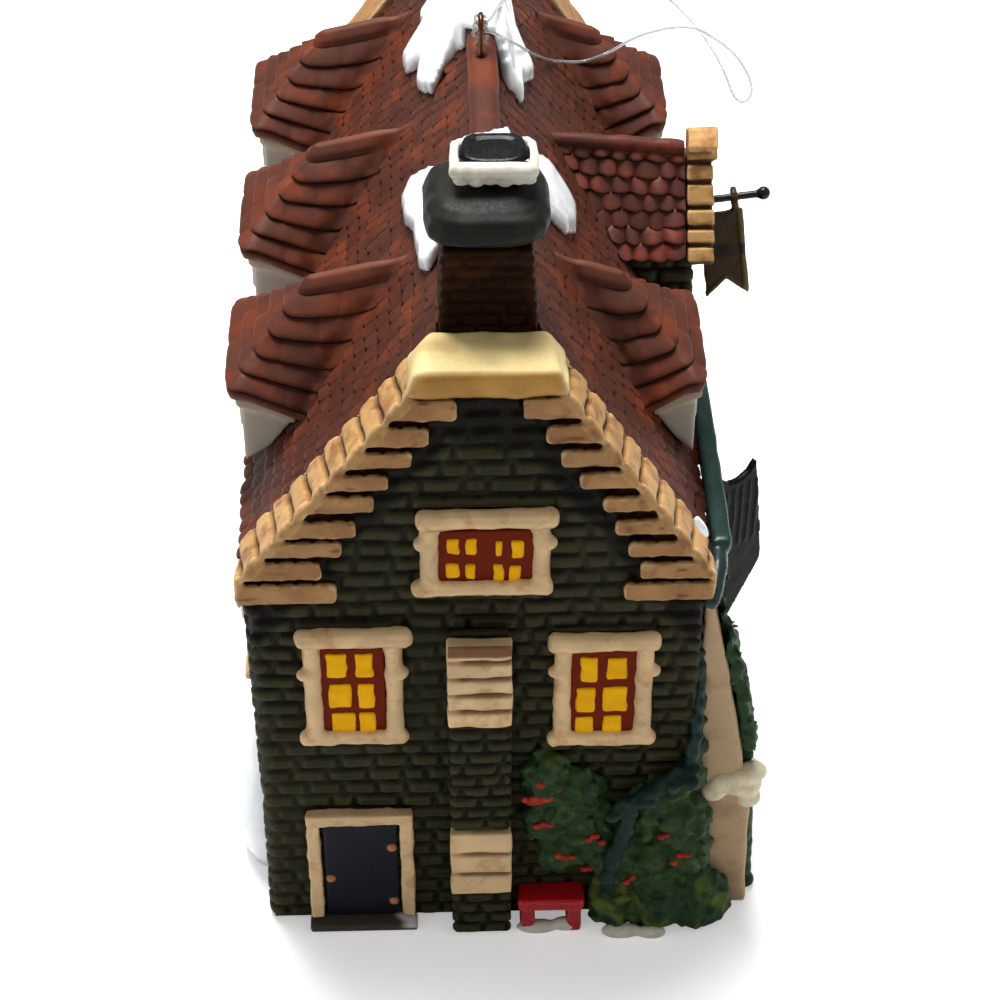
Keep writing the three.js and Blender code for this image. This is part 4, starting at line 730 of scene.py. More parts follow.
for side, word in ((-1, "left"), (1, "right")):
    up_slope, out_of_slope = slope_frame(side)
    eave = np.array([side * EAVE_X, 0, roof_height(side, side * EAVE_X)])
    length = (EAVE_X - side * RIDGE_X) * STRETCH[side]
    courses = int(length / ROOF_PITCH)
    course, up, lip = lap(courses)
    along = np.linspace(ROOF_FRONT, ROOF_REAR, ROOF_COLUMNS)[None, :]
    course, up, lip, along = np.broadcast_arrays(course, up, lip, along)
    way, height, tone = lay_course(along, course, up, lip, ROOF_PITCH, SHINGLE_WIDTH, SHINGLE_THICKNESS,
                                   0.3, 0.45, 11 + side, uneven=1.7)
    way = way / (courses * ROOF_PITCH) * length
    face = eave + way[..., None] * up_slope + (height - 0.12)[..., None] * out_of_slope
    under_stack = (face[..., 0] > STACK_LEFT) & (face[..., 0] < STACK_RIGHT)
    face[..., 1] = np.where(under_stack, np.maximum(along, STACK_FRONT + 0.02 * (along - ROOF_FRONT)), along)
    back = face[0] * 0 + eave - (ROOF_THICKNESS - 0.1) * out_of_slope
    back[:, 1] = along[0]
    crest = back + length * up_slope
    crest[:, 1] = face[-1, :, 1]
    slab = relief(f"shingles_{word}", face, back, crest, tone=0.5 * tone - 0.5)
    settle(slab, shingle_paint, "shingle_paint", f"roof_{word}")

# %% [markdown]
# ## Dormer roofs
# Five hipped dormers stand on the main roof. Their courses go round three sides, the corners and the
# ridge are round, and the valleys are filled softly, because the whole is one casting. The mesh is made
# of rings, one for each row of a course. Where a ring meets the main roof it is eased into it.

# %% Dormer roofs
DORMER_EAVE = 62.0
DORMER_RISE = 10.4
DORMER_HALF = 7.8
DORMER_TIP = {-1: 24.8, 1: 23.8}
DORMER_FALL = 2.2
DORMER_HIP = 8.5
DORMER_RUN = math.hypot(DORMER_HALF, DORMER_RISE)
DORMER_COURSES = 5
DORMER_PITCH = 2.32
DORMER_DROOP = 4.4
DORMER_BURIED = 2.4
LONG_WIDTH, LONG_THICKNESS = 6.5, 0.8
VALLEY, VALLEY_DEPTH = 1.3, 0.35
END_WALK, FAR_WALK = 32, 90
# The eave's round nose: rows that drop below the first course and stand out from it
EAVE_NOSE = np.array([(-1.25, -1.0), (-1.3, -0.35), (-1.05, 0.12), (-0.55, 0.34), (-0.12, 0.36)])
CREST_HEIGHTS = np.array([0.15, 0.42, 0.55, 0.62, 0.66])[:, None]


def ease_into_roof(side, points, strength=1.0):
    """Moves points that come near a roof slope, so that they run into it in a soft valley."""
    stand = above_roof(side, points)
    lifted = 0.5 * (stand - VALLEY_DEPTH + np.sqrt((stand + VALLEY_DEPTH) ** 2 + VALLEY ** 2))
    return points + (strength * (lifted - stand))[..., None] * slope_frame(side)[1]


def ring_share(inner_points, end_points):
    """The columns of a ring: how far along the near side, the end and the far side they lie."""
    near = np.linspace(0, 1, inner_points)
    end = np.linspace(-1, 1, end_points + 2)[1:-1]
    part = np.concatenate([np.zeros(inner_points), np.ones(end_points), np.full(inner_points, 2.0)])
    share = np.concatenate([near, end, near[::-1]])
    return part[None, :], share[None, :]


def dormer_droop(side, reach):
    """How far the eave hangs lower towards the main roof."""
    start = DORMER_TIP[side] - 1.5
    return DORMER_DROOP * np.clip((start - reach) / (start - side * roof_x(side, DORMER_EAVE)), 0, 1.15)


def dormer_span(side, v):
    """At a share of the roof's height: where it starts inside the main roof, and where its end stands."""
    inner = side * roof_x(side, DORMER_EAVE + DORMER_RISE * v) - DORMER_BURIED
    return inner, DORMER_TIP[side] - DORMER_HIP * v


def dormer_roof(name, side, middle, seed):
    """One hipped roof with lapped courses."""
    part, share = ring_share(58, 44)
    course, up, lip = lap(DORMER_COURSES)
    part, share, course, up, lip = np.broadcast_arrays(part, share, course, up, lip)
    rough_v = np.clip((course + up) * DORMER_PITCH / DORMER_RUN, 0, 1)
    inner, tip = dormer_span(side, rough_v)
    reach = inner + (tip - inner) * share
    across = share * DORMER_HALF * (1 - rough_v)
    along = np.where(part == 0, reach, np.where(part == 1, END_WALK + across, FAR_WALK - reach))
    way, height, tone = lay_course(along, course, up, lip, DORMER_PITCH, LONG_WIDTH, LONG_THICKNESS,
                                   0.02, 0.1, seed, uneven=0.4)
    v = np.clip(way / DORMER_RUN, 0, 1)
    top_v = np.linspace(v[-1].max() + 0.012, 1, len(CREST_HEIGHTS))[:, None] + 0 * share[:1]
    nose_v = np.zeros((len(EAVE_NOSE), share.shape[1]))
    v = np.concatenate([nose_v, v, top_v])
    rows = len(v)
    part = np.broadcast_to(part[:1], (rows, part.shape[1]))
    share = np.broadcast_to(share[:1], part.shape)
    height = np.concatenate([nose_v, height, CREST_HEIGHTS + 0 * top_v])
    tone = np.concatenate([tone[:1].repeat(len(EAVE_NOSE), 0), tone, 0 * top_v])
    inner, tip = dormer_span(side, v)
    half = DORMER_HALF * (1 - v)
    reach = np.where(part == 1, tip, inner + (tip - inner) * share)
    wide = np.where(part == 0, -half, np.where(part == 1, share * half, half))
    meet = side * roof_x(side, DORMER_EAVE + DORMER_RISE)
    fall = DORMER_FALL * v * np.clip((reach - meet) / (DORMER_TIP[side] - DORMER_HIP - meet), -0.3, 1)
    droop = dormer_droop(side, reach) * (1 - v) ** 1.3 * (part != 1)
    place = np.stack([side * reach, wide, DORMER_EAVE + DORMER_RISE * v - fall - droop], -1)
    level = np.stack([np.where(part == 1, side, 0.0), np.where(part == 1, 0.0, part - 1), 0 * v], -1)
    slant = np.where(part == 1, DORMER_HIP, DORMER_HALF)
    out = level * DORMER_RISE + np.stack([0 * v, 0 * v, slant], -1)
    out /= np.linalg.norm(out, axis=-1)[..., None]
    crown = ease(v, 0.93, 1.0)[..., None]
    out = out * (1 - crown) + np.array([0, 0, 1.0]) * crown
    for _ in range(9):
        for field in (place, out, level):
            field[:, 1:-1] = (field[:, :-2] + 2 * field[:, 1:-1] + field[:, 2:]) / 4
    for i, (drop, push) in enumerate(EAVE_NOSE):
        place[i] = place[i] + level[i] * push
        place[i, :, 2] += drop
    near_valley = ease(above_roof(side, place), 0.2, 2.6)
    lumps = 0.3 * wander(place, 1.1, seed + 7)
    face = place + out * (height * (0.35 + 0.65 * near_valley) + lumps * (1 - near_valley) * 0.6)[..., None]
    above_eave = np.arange(rows)[:, None] >= len(EAVE_NOSE)
    face = ease_into_roof(side, face, above_eave)
    face[..., 1] += middle
    orange = ease(wander(face, 3.2, seed + 2) + 0.5 * wander(face, 1.2, seed), 0.25, 0.7)
    orange = orange * ease(height, 0.15, 0.4)
    grid, faces = grid_faces(rows, face.shape[1])
    faces.append(grid[0].tolist())
    faces.append(grid[:, 0].tolist() + grid[::-1, -1].tolist())
    marks = {"tone": 0.6 * tone.ravel(), "second": 0.6 * orange.ravel()}
    return new_piece(name, new_mesh(name, face.reshape(-1, 3), faces, marks))


# Each dormer: the side of its roof, its name, its middle and the seed of its shingles
DORMERS = [(-1, "left_1", -19.6, 16), (-1, "left_2", 5.8, 17), (-1, "left_3", 31.2, 18),
           (1, "right_1", -19.6, 26), (1, "right_2", 31.2, 28)]
for side, word, y, seed in DORMERS:
    roof = dormer_roof(f"dormer_shingles_{word}", side, y, seed)
    settle(roof, shingle_paint, "shingle_paint", f"dormer_roof_{word}", reach=3)

# %% [markdown]
# The dormer walls are smooth, pale grey render with a tan board under the eave. Two little panes on each
# front are painted in the same yellow as the gable windows.

# %% Dormer walls
render_paint = painted("pale grey render paint on bisque", "#aaa094", "#a89474", "#6a5844", "#c8c0b4",
                       roughness=0.55, patch_size=9, patch_share=-1, pool=0.09, rub_share=0.2)
glow_paint = painted("yellow pane glaze on red brown sash", "#641c03", "#eeb008", "#301002", "#a84a0c",
                     roughness=0.35, patch_size=1.2, patch_share=-1, pool=0.05, rub_share=0.1,
                     sheen=0.04)
BOARD_TOP = DORMER_EAVE - 1.3
BOARD_HALF = 7.15
BOARD_REACH = 23.1
WALL_FACE = 22.6
WALL_PUSH = {-1: 1.2, 1: 0.7}
PANE_PLACE, PANE_HALF, PANE_TALL = 1.5, 0.85, 3.4


def block(x0, x1, y0, y1, z0, z1, axis="y"):
    """A closed block for a cast: its width, the part of the axis that it takes and its height."""
    return prism([(x0, z0), (x1, z0), (x1, z1), (x0, z1)], y0, y1, axis)


for side, word, y, _ in DORMERS:
    node = f"dormer_{word}"
    ends = [(reach, BOARD_TOP - dormer_droop(side, reach))
            for reach in (BOARD_REACH, side * roof_x(side, BOARD_TOP - 3.5))]
    board = prism([(side * reach, z - 1.1) for reach, z in ends]
                  + [(side * reach, z + 0.35) for reach, z in ends[::-1]], y - BOARD_HALF, y + BOARD_HALF)
    walls = cast(f"{node}_render", [node, board], 0.3, 4)
    points, _ = read(walls)
    push = side * WALL_PUSH[side]
    shape(walls, lambda p: np.outer(push * ease(np.abs(p[:, 0]), 21.0, WALL_FACE), (1, 0, 0)))
    hang = dormer_droop(side, side * points[:, 0])
    mark(walls, second=0.6 * ease(points[:, 2] + hang, BOARD_TOP - 1.4, BOARD_TOP - 1.1))
    settle(walls, render_paint, "dormer_wall_paint", node, reach=6)
    low = (roof_height(side, side * WALL_FACE, 0.3) + BOARD_TOP - 0.3 - PANE_TALL) / 2
    face = side * (WALL_FACE + 0.1) + push
    for pane, place in (("near", y - PANE_PLACE), ("far", y + PANE_PLACE)):
        cushion = block(place - PANE_HALF, place + PANE_HALF, face - 0.35, face + 0.35,
                        low, low + PANE_TALL, "x")
        glass = cast(f"{node}_pane_{pane}", [cushion], 0.2, 3)
        mark(glass, second=np.ones(len(glass.data.vertices)))
        settle(glass, glow_paint, "pane_paint", reach=0)

# %% [markdown]
# ## Cross gable roof and the ridge
# The cross gable has round scales in staggered rows, darker and more purple than the dormers, and a
# plain roll along its ridge. The main ridge has a smooth roll with an orange patch where the wire stands.

# %% Cross gable roof
slate_paint = painted("purple brown slate paint on bisque", "#4c2820", "#6c2f24", "#1c0b06", "#7e5044",
                      roughness=0.52, patch_size=4, pool=0.05, rub_share=0.4)
CROSS_Y = 5.8
CROSS_HALF = 7.6
CROSS_EAVE = 59.8
CROSS_RIDGE = 69.8
CROSS_END = 24.25
CROSS_CLIMB = 0.09
CROSS_RUN = math.hypot(CROSS_HALF, CROSS_RIDGE - CROSS_EAVE)
SCALE_COURSES = 7
SCALE_WIDTH, SCALE_THICKNESS = 2.2, 0.7
CROSS_SINK, CROSS_BACK = 0.15, 1.2
for toward, word in ((-1, "near"), (1, "far")):
    course, up, lip = lap(SCALE_COURSES)
    share = np.linspace(0, 1, 84)[None, :]
    course, up, lip, share = np.broadcast_arrays(course, up, lip, share)
    pitch = CROSS_RUN / SCALE_COURSES
    level = CROSS_EAVE + (CROSS_RIDGE - CROSS_EAVE) * np.clip((course + up) / SCALE_COURSES, 0, 1)
    inner = roof_x(1, level) - 2.2
    along = inner + (CROSS_END - inner) * share
    way, height, tone = lay_course(along, course, up, lip, pitch, SCALE_WIDTH, SCALE_THICKNESS,
                                   0.35, 0.7, 40 + toward, uneven=1.5)
    middle = shingles(along, course, SCALE_WIDTH, 40 + toward)[0]
    height = height * (1 - 0.85 * middle ** 2)
    out = np.array([0, toward * (CROSS_RIDGE - CROSS_EAVE), CROSS_HALF]) / CROSS_RUN
    climb = np.array([0, -toward * CROSS_HALF, CROSS_RIDGE - CROSS_EAVE]) / CROSS_RUN
    base = np.array([0, toward * CROSS_HALF, CROSS_EAVE]) + way[..., None] * climb
    base[..., 0] = along
    base[..., 2] += CROSS_CLIMB * (CROSS_END - along) * way / CROSS_RUN
    face = ease_into_roof(1, base + (height - CROSS_SINK)[..., None] * out)
    face[..., 1] += CROSS_Y
    behind = np.array([0, CROSS_Y, 0]) - CROSS_BACK * out
    scales = relief(f"slates_{word}", face, base[0] + behind, base[-1] + behind, tone=tone)
    settle(scales, slate_paint, "slate_paint", *(["cross_gable_roof"] if toward < 0 else []))
crest = [(x, CROSS_Y, CROSS_RIDGE - CROSS_SINK + CROSS_CLIMB * (CROSS_END - x))
         for x in np.linspace(7.5, CROSS_END, 30)]
ridge_roll = cast("slate_ridge_roll", [roll(crest, 0.9)], 0.25, 2)
shape(ridge_roll, lambda p: 0.12 * wander(p, 1.8, 8))
settle(ridge_roll, slate_paint, "slate_paint")

# %% Main ridge
ridge = cast("ridge_roll", ["ridge_tiles"], 0.28, 5)
shape(ridge, lambda p: 0.2 + 0.12 * wander(p, 3, 9))
points, _ = read(ridge)
mark(ridge, second=0.9 * ease(-np.abs(points[:, 1] + 2.5) + 0.8 * wander(points, 1.5, 3), -4.5, -1.5))
settle(ridge, shingle_paint, "shingle_paint", "ridge_tiles")

# %% [markdown]
# ## Coping stones
# The gable's edge is a rake of tan stones with curved brown joints and a thin bright bead along its
# front. Under it lie nine long stones on each side, and a thick cap stone closes the top. A brown wash
# fills every joint. Separate blocks could be modelled, but the real ones are one soft cast, so the rake
# is one body whose joints are pressed into it.

# %% Coping stones
coping_paint = painted("tan coping stone paint on bisque", "#ae8654", "#8c603a", "#331705", "#ecd8ac",
                       roughness=0.48, patch_size=2.4, pool=0.05, rub_share=0.6)
RAKE_FRONT = -45.2
RAKE_BACK = -39.0
RAKE_RISE = 1.8
RAKE_OUTER = WALL_X + 0.9
RAKE_BLOCKS = 9.6
NOSE_HEIGHT = 1.1
STONE_GAP = 0.17
# The long stones of each side, from the top: inner end, underside and top
LONG_STONES = {
    -1: [(-1.7, 71.5, 74.3), (-4.3, 68.5, 70.9), (-5.9, 65.9, 68.0), (-8.3, 63.1, 65.2), (-9.7, 60.4, 62.7),
         (-11.7, 57.2, 59.5), (-13.1, 54.7, 56.9), (-15.3, 51.9, 54.3), (-13.9, 48.7, 51.4)],
    1: [(4.6, 71.5, 74.3), (6.8, 68.6, 71.0), (8.2, 65.7, 67.9), (10.1, 62.9, 65.1), (12.4, 60.0, 62.0),
        (13.7, 57.0, 59.1), (15.1, 54.1, 56.2), (16.3, 51.1, 53.5), (14.8, 48.3, 50.8)],
}


def rake_joints(points, side, top_facing):
    """How far points lie from the curved joints of a rake, and how plainly the joints show, from 0 to 1."""
    way = (RAKE_OUTER - side * points[:, 0]) * STRETCH[side]
    back = (points[:, 1] - RAKE_FRONT) / (RAKE_BACK - RAKE_FRONT)
    way = way - 1.1 * (1 - ease(back, 0.05, 0.95)) + 0.15 * wander(points, 2.2, 5)
    pitch = (RAKE_OUTER - 6.5) * STRETCH[side] / RAKE_BLOCKS
    away = np.abs(np.mod(way / pitch + 0.5, 1) - 0.5) * pitch
    return away, top_facing * ease(back, -0.02, 0.1)


STONE_FRONT, STONE_BACK = -45.4, -43.9
LOWEST_STONE = 49
RAKE_TOP_END = {-1: -5.6, 1: 8.1}
for side, word in ((-1, "left"), (1, "right")):
    inner, outer = RAKE_TOP_END[side], side * RAKE_OUTER
    top = [(x, roof_height(side, x) + RAKE_RISE) for x in (outer, inner)]
    under = [(x, roof_height(side, x, -ROOF_THICKNESS)) for x in (inner, outer)]
    body = prism([*top, *under], -44.25, RAKE_BACK)
    nose = prism([*top, (inner, top[1][1] - NOSE_HEIGHT), (outer, top[0][1] - NOSE_HEIGHT)],
                 RAKE_FRONT + 0.1, STONE_BACK)
    bead = roll([(x, RAKE_FRONT + 0.35, roof_height(side, x) + RAKE_RISE - 0.4)
                 for x in np.linspace(outer - side * 0.3, inner, 60)], 0.45)
    stones = []
    for x, z0, z1 in LONG_STONES[side]:
        reach_low, reach = [outer if z0 < LOWEST_STONE else roof_x(side, z - RAKE_RISE + 0.9)
                            for z in (z0, z1)]
        z0, z1 = z0 + STONE_GAP, z1 - STONE_GAP
        stones.append(prism([(x, z0 + 0.35), (x + side * 0.35, z0), (reach_low, z0), (reach, z1),
                             (x + side * 0.3, z1), (x, z1 - 0.4)], STONE_FRONT, STONE_BACK))
    rake = cast(f"coping_{word}", [body, nose, bead, *stones], 0.21, 3)
    points, normals = read(rake)
    out = slope_frame(side)[1]
    top_facing = ease(normals @ out, 0.35, 0.8)
    away, weight = rake_joints(points, side, top_facing)
    joint = np.exp(-(away / 0.3) ** 2) * weight
    on_face = (normals[:, 1] < -0.4) & (above_roof(side, points) < 0.2)
    # The recessed wall between the long stones is darkened as painted shade
    gap = ease(points[:, 1], -45.15, -44.85) * ease(-points[:, 1], 43.0, 43.6)
    gap = gap * (np.abs(points[:, 0]) < 23.4) * (above_roof(side, points) < 0.75)
    chipped = 0.1 * wander(points, 1.3, 12) + 0.06 * wander(points, 0.6, 13)
    shape(rake, lambda p: -0.45 * joint + 0.16 * np.clip(away, 0, 1) * weight + chipped)
    mottled = ease(wander(points * (0.5, 1, 1.6), 0.9, 15), 0.42, 0.8) * on_face * 0.65
    # Painted shade on the undersides of the stones
    under = ease(-normals[:, 2], 0.35, 0.8) * (points[:, 1] < STONE_BACK)
    # The front faces take the darker brown in patches, which is partly painted shade; the faces that look up
    # the slope are lighter and the others darker, which is painted highlight and painted shade
    mark(rake, stain=np.clip(0.95 * joint + mottled + 0.9 * under + gap, 0, 1),
         second=on_face * (0.5 + 0.5 * wander(points, 2.5, 16)),
         tone=0.5 * wander(points, 2.0, 17) + 0.5 * (top_facing - 0.3))
    settle(rake, coping_paint, "coping_paint", f"front_coping_{word}")

# %% Cap stone and rear coping
cap_paint = painted("cream cap stone paint on bisque", "#dcc48a", "#a6752c", "#4a2a0c", "#f0e2b4",
                    roughness=0.42, patch_size=3, patch_share=-1, pool=0.12, rub_share=0.3)
CAP_UNDERSIDE = [(-6.2, -45.6), (8.9, -45.6), (8.6, -39.0), (-5.9, -39.0)]
CAP_TOP = [(-5.3, -45.5), (8.0, -45.5), (7.1, -39.0), (-3.9, -39.0)]
BOX_SIDES = [(0, 1, 2, 3), (7, 6, 5, 4), (0, 4, 5, 1), (1, 5, 6, 2), (2, 6, 7, 3), (3, 7, 4, 0)]
corners = [(x, y, 74.7) for x, y in CAP_UNDERSIDE] + [(x, y, 77.3) for x, y in CAP_TOP]
cap = cast("cap_stone", [new_mesh("corners", corners, BOX_SIDES)], 0.28, 14)
shape(cap, lambda p: 0.36 + 0.22 * wander(p, 2.8, 18) + 0.06 * wander(p, 0.9, 19))
points, normals = read(cap)
# Painted shade: the undersides are darkened
mark(cap, second=ease(-normals[:, 1], 0.35, 0.9) * 0.9 + 0.25 * ease(wander(points, 2.2, 19), 0.2, 0.7),
     stain=ease(-normals[:, 2], 0.2, 0.8),
     tone=0.9 * wander(points, 2.4, 27) - 0.2)
settle(cap, cap_paint, "cap_stone_paint", "front_cap_stone", reach=6)

rear = cast("rear_coping_stones", ["rear_coping"], 0.34, 3)
points, _ = read(rear)
shape(rear, lambda p: 0.12 * wander(p, 1.6, 20))
mark(rear, tone=0.5 * wander(points, 2.0, 21),
     second=0.5 + 0.5 * wander(points, 2.5, 22))
settle(rear, coping_paint, "coping_paint", "rear_coping", reach=5)

CROSS_JOINTS = [0.0, 0.22, 0.378, 0.576, 0.735, 0.877, 1.03]
CROSS_TOP = 71.2
CROSS_FALL = 11.6
CROSS_SLANT = math.hypot(CROSS_HALF, CROSS_FALL)


def rake_block(toward, start, end, low, high, x0, x1):
    """A block on the cross gable's rake: from start to end of the slope, and from low to high above it."""
    corners = ((start, x0), (end, x0), (end, x1), (start, x1))
    return new_mesh("block", [
        (x, CROSS_Y + toward * (CROSS_HALF * along + CROSS_FALL / CROSS_SLANT * out),
         CROSS_TOP - CROSS_FALL * along + CROSS_HALF / CROSS_SLANT * out)
        for out in (low, high) for along, x in corners], BOX_SIDES)


# Each kind of block: its start after the joint, its underside, its top, its back and its front
TOP_BLOCK = (-0.06, -1.9, 0.35, 24.5, 27.9)
OTHER_BLOCK = (0.02, -1.9, 0.2, 24.5, 27.45)
blocks = []
for toward in (-1, 1):
    blocks.append(rake_block(toward, -0.04, 1.03, -2.3, -0.5, 24.6, 27.3))
    for start, end in zip(CROSS_JOINTS, CROSS_JOINTS[1:]):
        shift, *sizes = TOP_BLOCK if start == 0 else OTHER_BLOCK
        blocks.append(rake_block(toward, start + shift, end - 0.02, *sizes))
cross_rake = cast("cross_coping_stones", blocks, 0.2, 4)
points, normals = read(cross_rake)
down = np.abs(points[:, 1] - CROSS_Y) * CROSS_HALF + (CROSS_TOP - points[:, 2]) * CROSS_FALL
down /= CROSS_SLANT ** 2
near = np.abs(down[:, None] - np.array(CROSS_JOINTS[1:])[None, :]).min(1)
shape(cross_rake, lambda p: 0.1 * wander(p, 1.1, 23))
# The top block is painted paler. Painted highlight: the faces that look up are lighter. Painted shade: the
# undersides are darkened
top_tone = np.where(down < CROSS_JOINTS[1], 1.2, 0.1) + 0.9 * ease(normals[:, 2], 0.3, 0.9)
mark(cross_rake, tone=top_tone + 0.5 * wander(points, 1.6, 24),
     stain=np.clip(np.exp(-(near / 0.022) ** 2) + ease(-normals[:, 2], 0.3, 0.8), 0, 1))
settle(cross_rake, coping_paint, "coping_paint", "cross_gable_coping")

# %% [markdown]
# ## Windows and doors
# The surrounds are pale stones with soft, uneven edges, and each sash is a red brown plate with raised
# yellow panes, laid on by hand, so that no two have one shape. The front windows are drawn pane by pane.
# The windows of the long sides aren't in the photograph and have even panes.

# %% Window surrounds
frame_paint = painted("pale stone paint on bisque", "#cbad82", "#b98f62", "#5a2f10", "#f6ecd2",
                      roughness=0.45, patch_size=2, patch_share=0.3, pool=0.06, rub_share=0.45)


def dress_stone(name, sources, node, voxel=0.2, rounds=4, uneven=0.1, seed=30, lightened=0.0):
    """A stone cast from shapes, uneven, with painted shade under it and a wash where it meets the wall;
    lightened gives a painted highlight on its tops.
    """
    stone = cast(name, sources, voxel, rounds)
    points, normals = read(stone)
    shape(stone, lambda p: uneven * wander(p, 1.5, seed) + 0.5 * uneven * wander(p, 0.7, seed + 1))
    # Painted shade under each stone, and a painted highlight on its tops as strong as lightened asks
    mark(stone, stain=0.75 * ease(-normals[:, 2], 0.3, 0.9),
         tone=0.5 * wander(points, 2.2, seed + 2) + lightened * ease(normals[:, 2], 0.1, 0.8))
    settle(stone, frame_paint, "window_stone_paint", node)


# Each front window: lintel and sill (left end, right end, height), the middles of its jambs, its knuckles
SURROUNDS = {
    "left": ((-17.8, -7.2, 43.9), (-18.0, -7.8, 29.7), (-16.9, -8.5), 39.0),
    "right": ((8.0, 18.1, 42.7), (8.0, 18.1, 28.9), (8.9, 17.3), 38.7),
    "upper": ((-5.1, 7.5, 59.4), (-5.8, 7.1, 50.5), (-4.6, 6.5), 56.3),
}
SURROUND_Y = -45.1
LINTEL, SILL, JAMB = 1.05, 0.88, 0.92


def rounded_bar(x0, x1, z, radius):
    """A level bar on the front with round ends, thicker towards its ends."""
    xs = np.linspace(x0, x1, 16)
    radii = radius * (1 + 0.1 * np.abs(np.linspace(-1, 1, 16)) ** 3)
    ends = (0.8 * radius, 1.05 * radius, 1.1 * radius)
    return [roll([(x, SURROUND_Y, z) for x in xs], radii),
            *[lump((x, SURROUND_Y, z), ends) for x in (x0, x1)]]


for order, (word, (lintel, sill, jambs, knuckles)) in enumerate(SURROUNDS.items()):
    head, foot = lintel[2], sill[2]
    parts = [*rounded_bar(*lintel, LINTEL), *rounded_bar(*sill, SILL),
             block(*jambs, -44.8, -44.3, head - 1.9, head)]
    for side, jamb in zip((-1, 1), jambs):
        parts.append(roll([(jamb, SURROUND_Y + 0.25, z) for z in np.linspace(foot, head, 16)], JAMB))
        parts.append(block(jamb - 0.9, jamb + 0.9, -45.0, -44.3, foot, head))
        parts.append(lump((jamb + 0.45 * side, SURROUND_Y, knuckles), (1.2, 0.95, 0.8)))
    # lightened gives these stones a painted highlight on their tops
    dress_stone(f"{word}_window_stones", parts, f"{word}_window_frame", uneven=0.13, seed=30 + 3 * order,
                lightened=1.3)
for node in ("street_window_front", "street_window_rear", "shop_window_front", "shop_window_rear",
             "lane_window_front", "lane_window_rear"):
    dress_stone(f"{node}_stones", [node], node, voxel=0.27, rounds=3)

# %% Panes
# The panes of each front window as shares of its sash: left, right, top and bottom
SIX_LEFT = [(.15, .47, .03, .29), (.60, .88, .03, .29), (.17, .52, .37, .64), (.62, .88, .37, .65),
            (.20, .57, .70, .92), (.63, .87, .70, .945)]
SIX_RIGHT = [(.135, .405, .035, .31), (.555, .865, .045, .275), (.08, .38, .38, .655), (.50, .88, .37, .655),
             (.07, .365, .71, .895), (.515, .80, .70, .94)]
EIGHT_UPPER = [(.095, .23, .09, .35), (.30, .415, .09, .37), (.615, .69, .14, .42), (.79, .915, .14, .45),
               (.085, .225, .53, .79), (.295, .395, .55, .82), (.59, .70, .56, .86), (.765, .89, .59, .89)]


def even_panes(columns, rows):
    """Panes of one size, with bars between them."""
    return [((i + 0.14) / columns, (i + 0.86) / columns, (j + 0.12) / rows, (j + 0.88) / rows)
            for j in range(rows) for i in range(columns)]


SASH_RIM, SASH_DEPTH, PANE_SUNK, PANE_PROUD = 0.4, 0.5, 0.2, 0.16


def glaze(name, middle, sill, width, height, face, panes, turn, *replaced):
    """A sash plate with raised panes; turn gives x, y and z from a place along, out of and up the wall."""
    left = middle - width / 2

    def slab(a0, a1, z0, z1, *depths):
        corners = [(a0, z0), (a1, z0), (a1, z1), (a0, z1)]
        return new_mesh("slab", [turn(a, depth, z) for depth in depths for a, z in corners], BOX_SIDES)

    plate = slab(left - SASH_RIM, left + width + SASH_RIM, sill - SASH_RIM, sill + height + SASH_RIM,
                 face - SASH_DEPTH, face)
    cushions = [slab(left + a * width, left + b * width, sill + height * (1 - d), sill + height * (1 - c),
                     face - PANE_SUNK, face + PANE_PROUD) for a, b, c, d in panes]
    sash = cast(name, [plate], 0.25, 2)
    settle(sash, glow_paint, "pane_paint", *replaced, reach=3)
    glass = cast(f"{name}_panes", cushions, 0.13, 20)
    shape(glass, lambda p: 0.05 + 0.12 * wander(p, 0.9, 6))
    points, _ = read(glass)
    mark(glass, second=0.88 + 0.12 * wander(points, 1.1, 5))
    settle(glass, glow_paint, "pane_paint", reach=3)


def on_front(along, out, up):
    return (along, FRONT - out, up)


def on_street(along, out, up):
    return (WALL_X + out, along, up)


def on_lane(along, out, up):
    return (-WALL_X - out, along, up)


FRONT_PANE, SIDE_PANE = 1.0, 1.2
TALL, WIDE, LOW_WIDE = (6.6, 12.6), (9.2, 7.2), (13.2, 8.8)
glaze("left_sash", -13.1, 29.4, *TALL, FRONT_PANE, SIX_LEFT, on_front, "left_window_sash")
glaze("right_sash", 13.1, 28.3, *TALL, FRONT_PANE, SIX_RIGHT, on_front, "right_window_sash")
glaze("upper_sash", 0.9, 50.3, *WIDE, FRONT_PANE, EIGHT_UPPER, on_front, "upper_window_sash")
SIDE_SASHES = [("street", (-14.2, 25.8), 28.3, TALL, even_panes(2, 3), on_street),
               ("shop", (-14.2, 25.8), 6.6, LOW_WIDE, even_panes(4, 2), on_street),
               ("lane", (-29.0, 29.0), 29.4, TALL, even_panes(2, 3), on_lane)]
for word, middles, sill, size, panes, turn in SIDE_SASHES:
    for end, y in zip(("front", "rear"), middles):
        glaze(f"{word}_{end}_sash", y, sill, *size, SIDE_PANE, panes, turn)

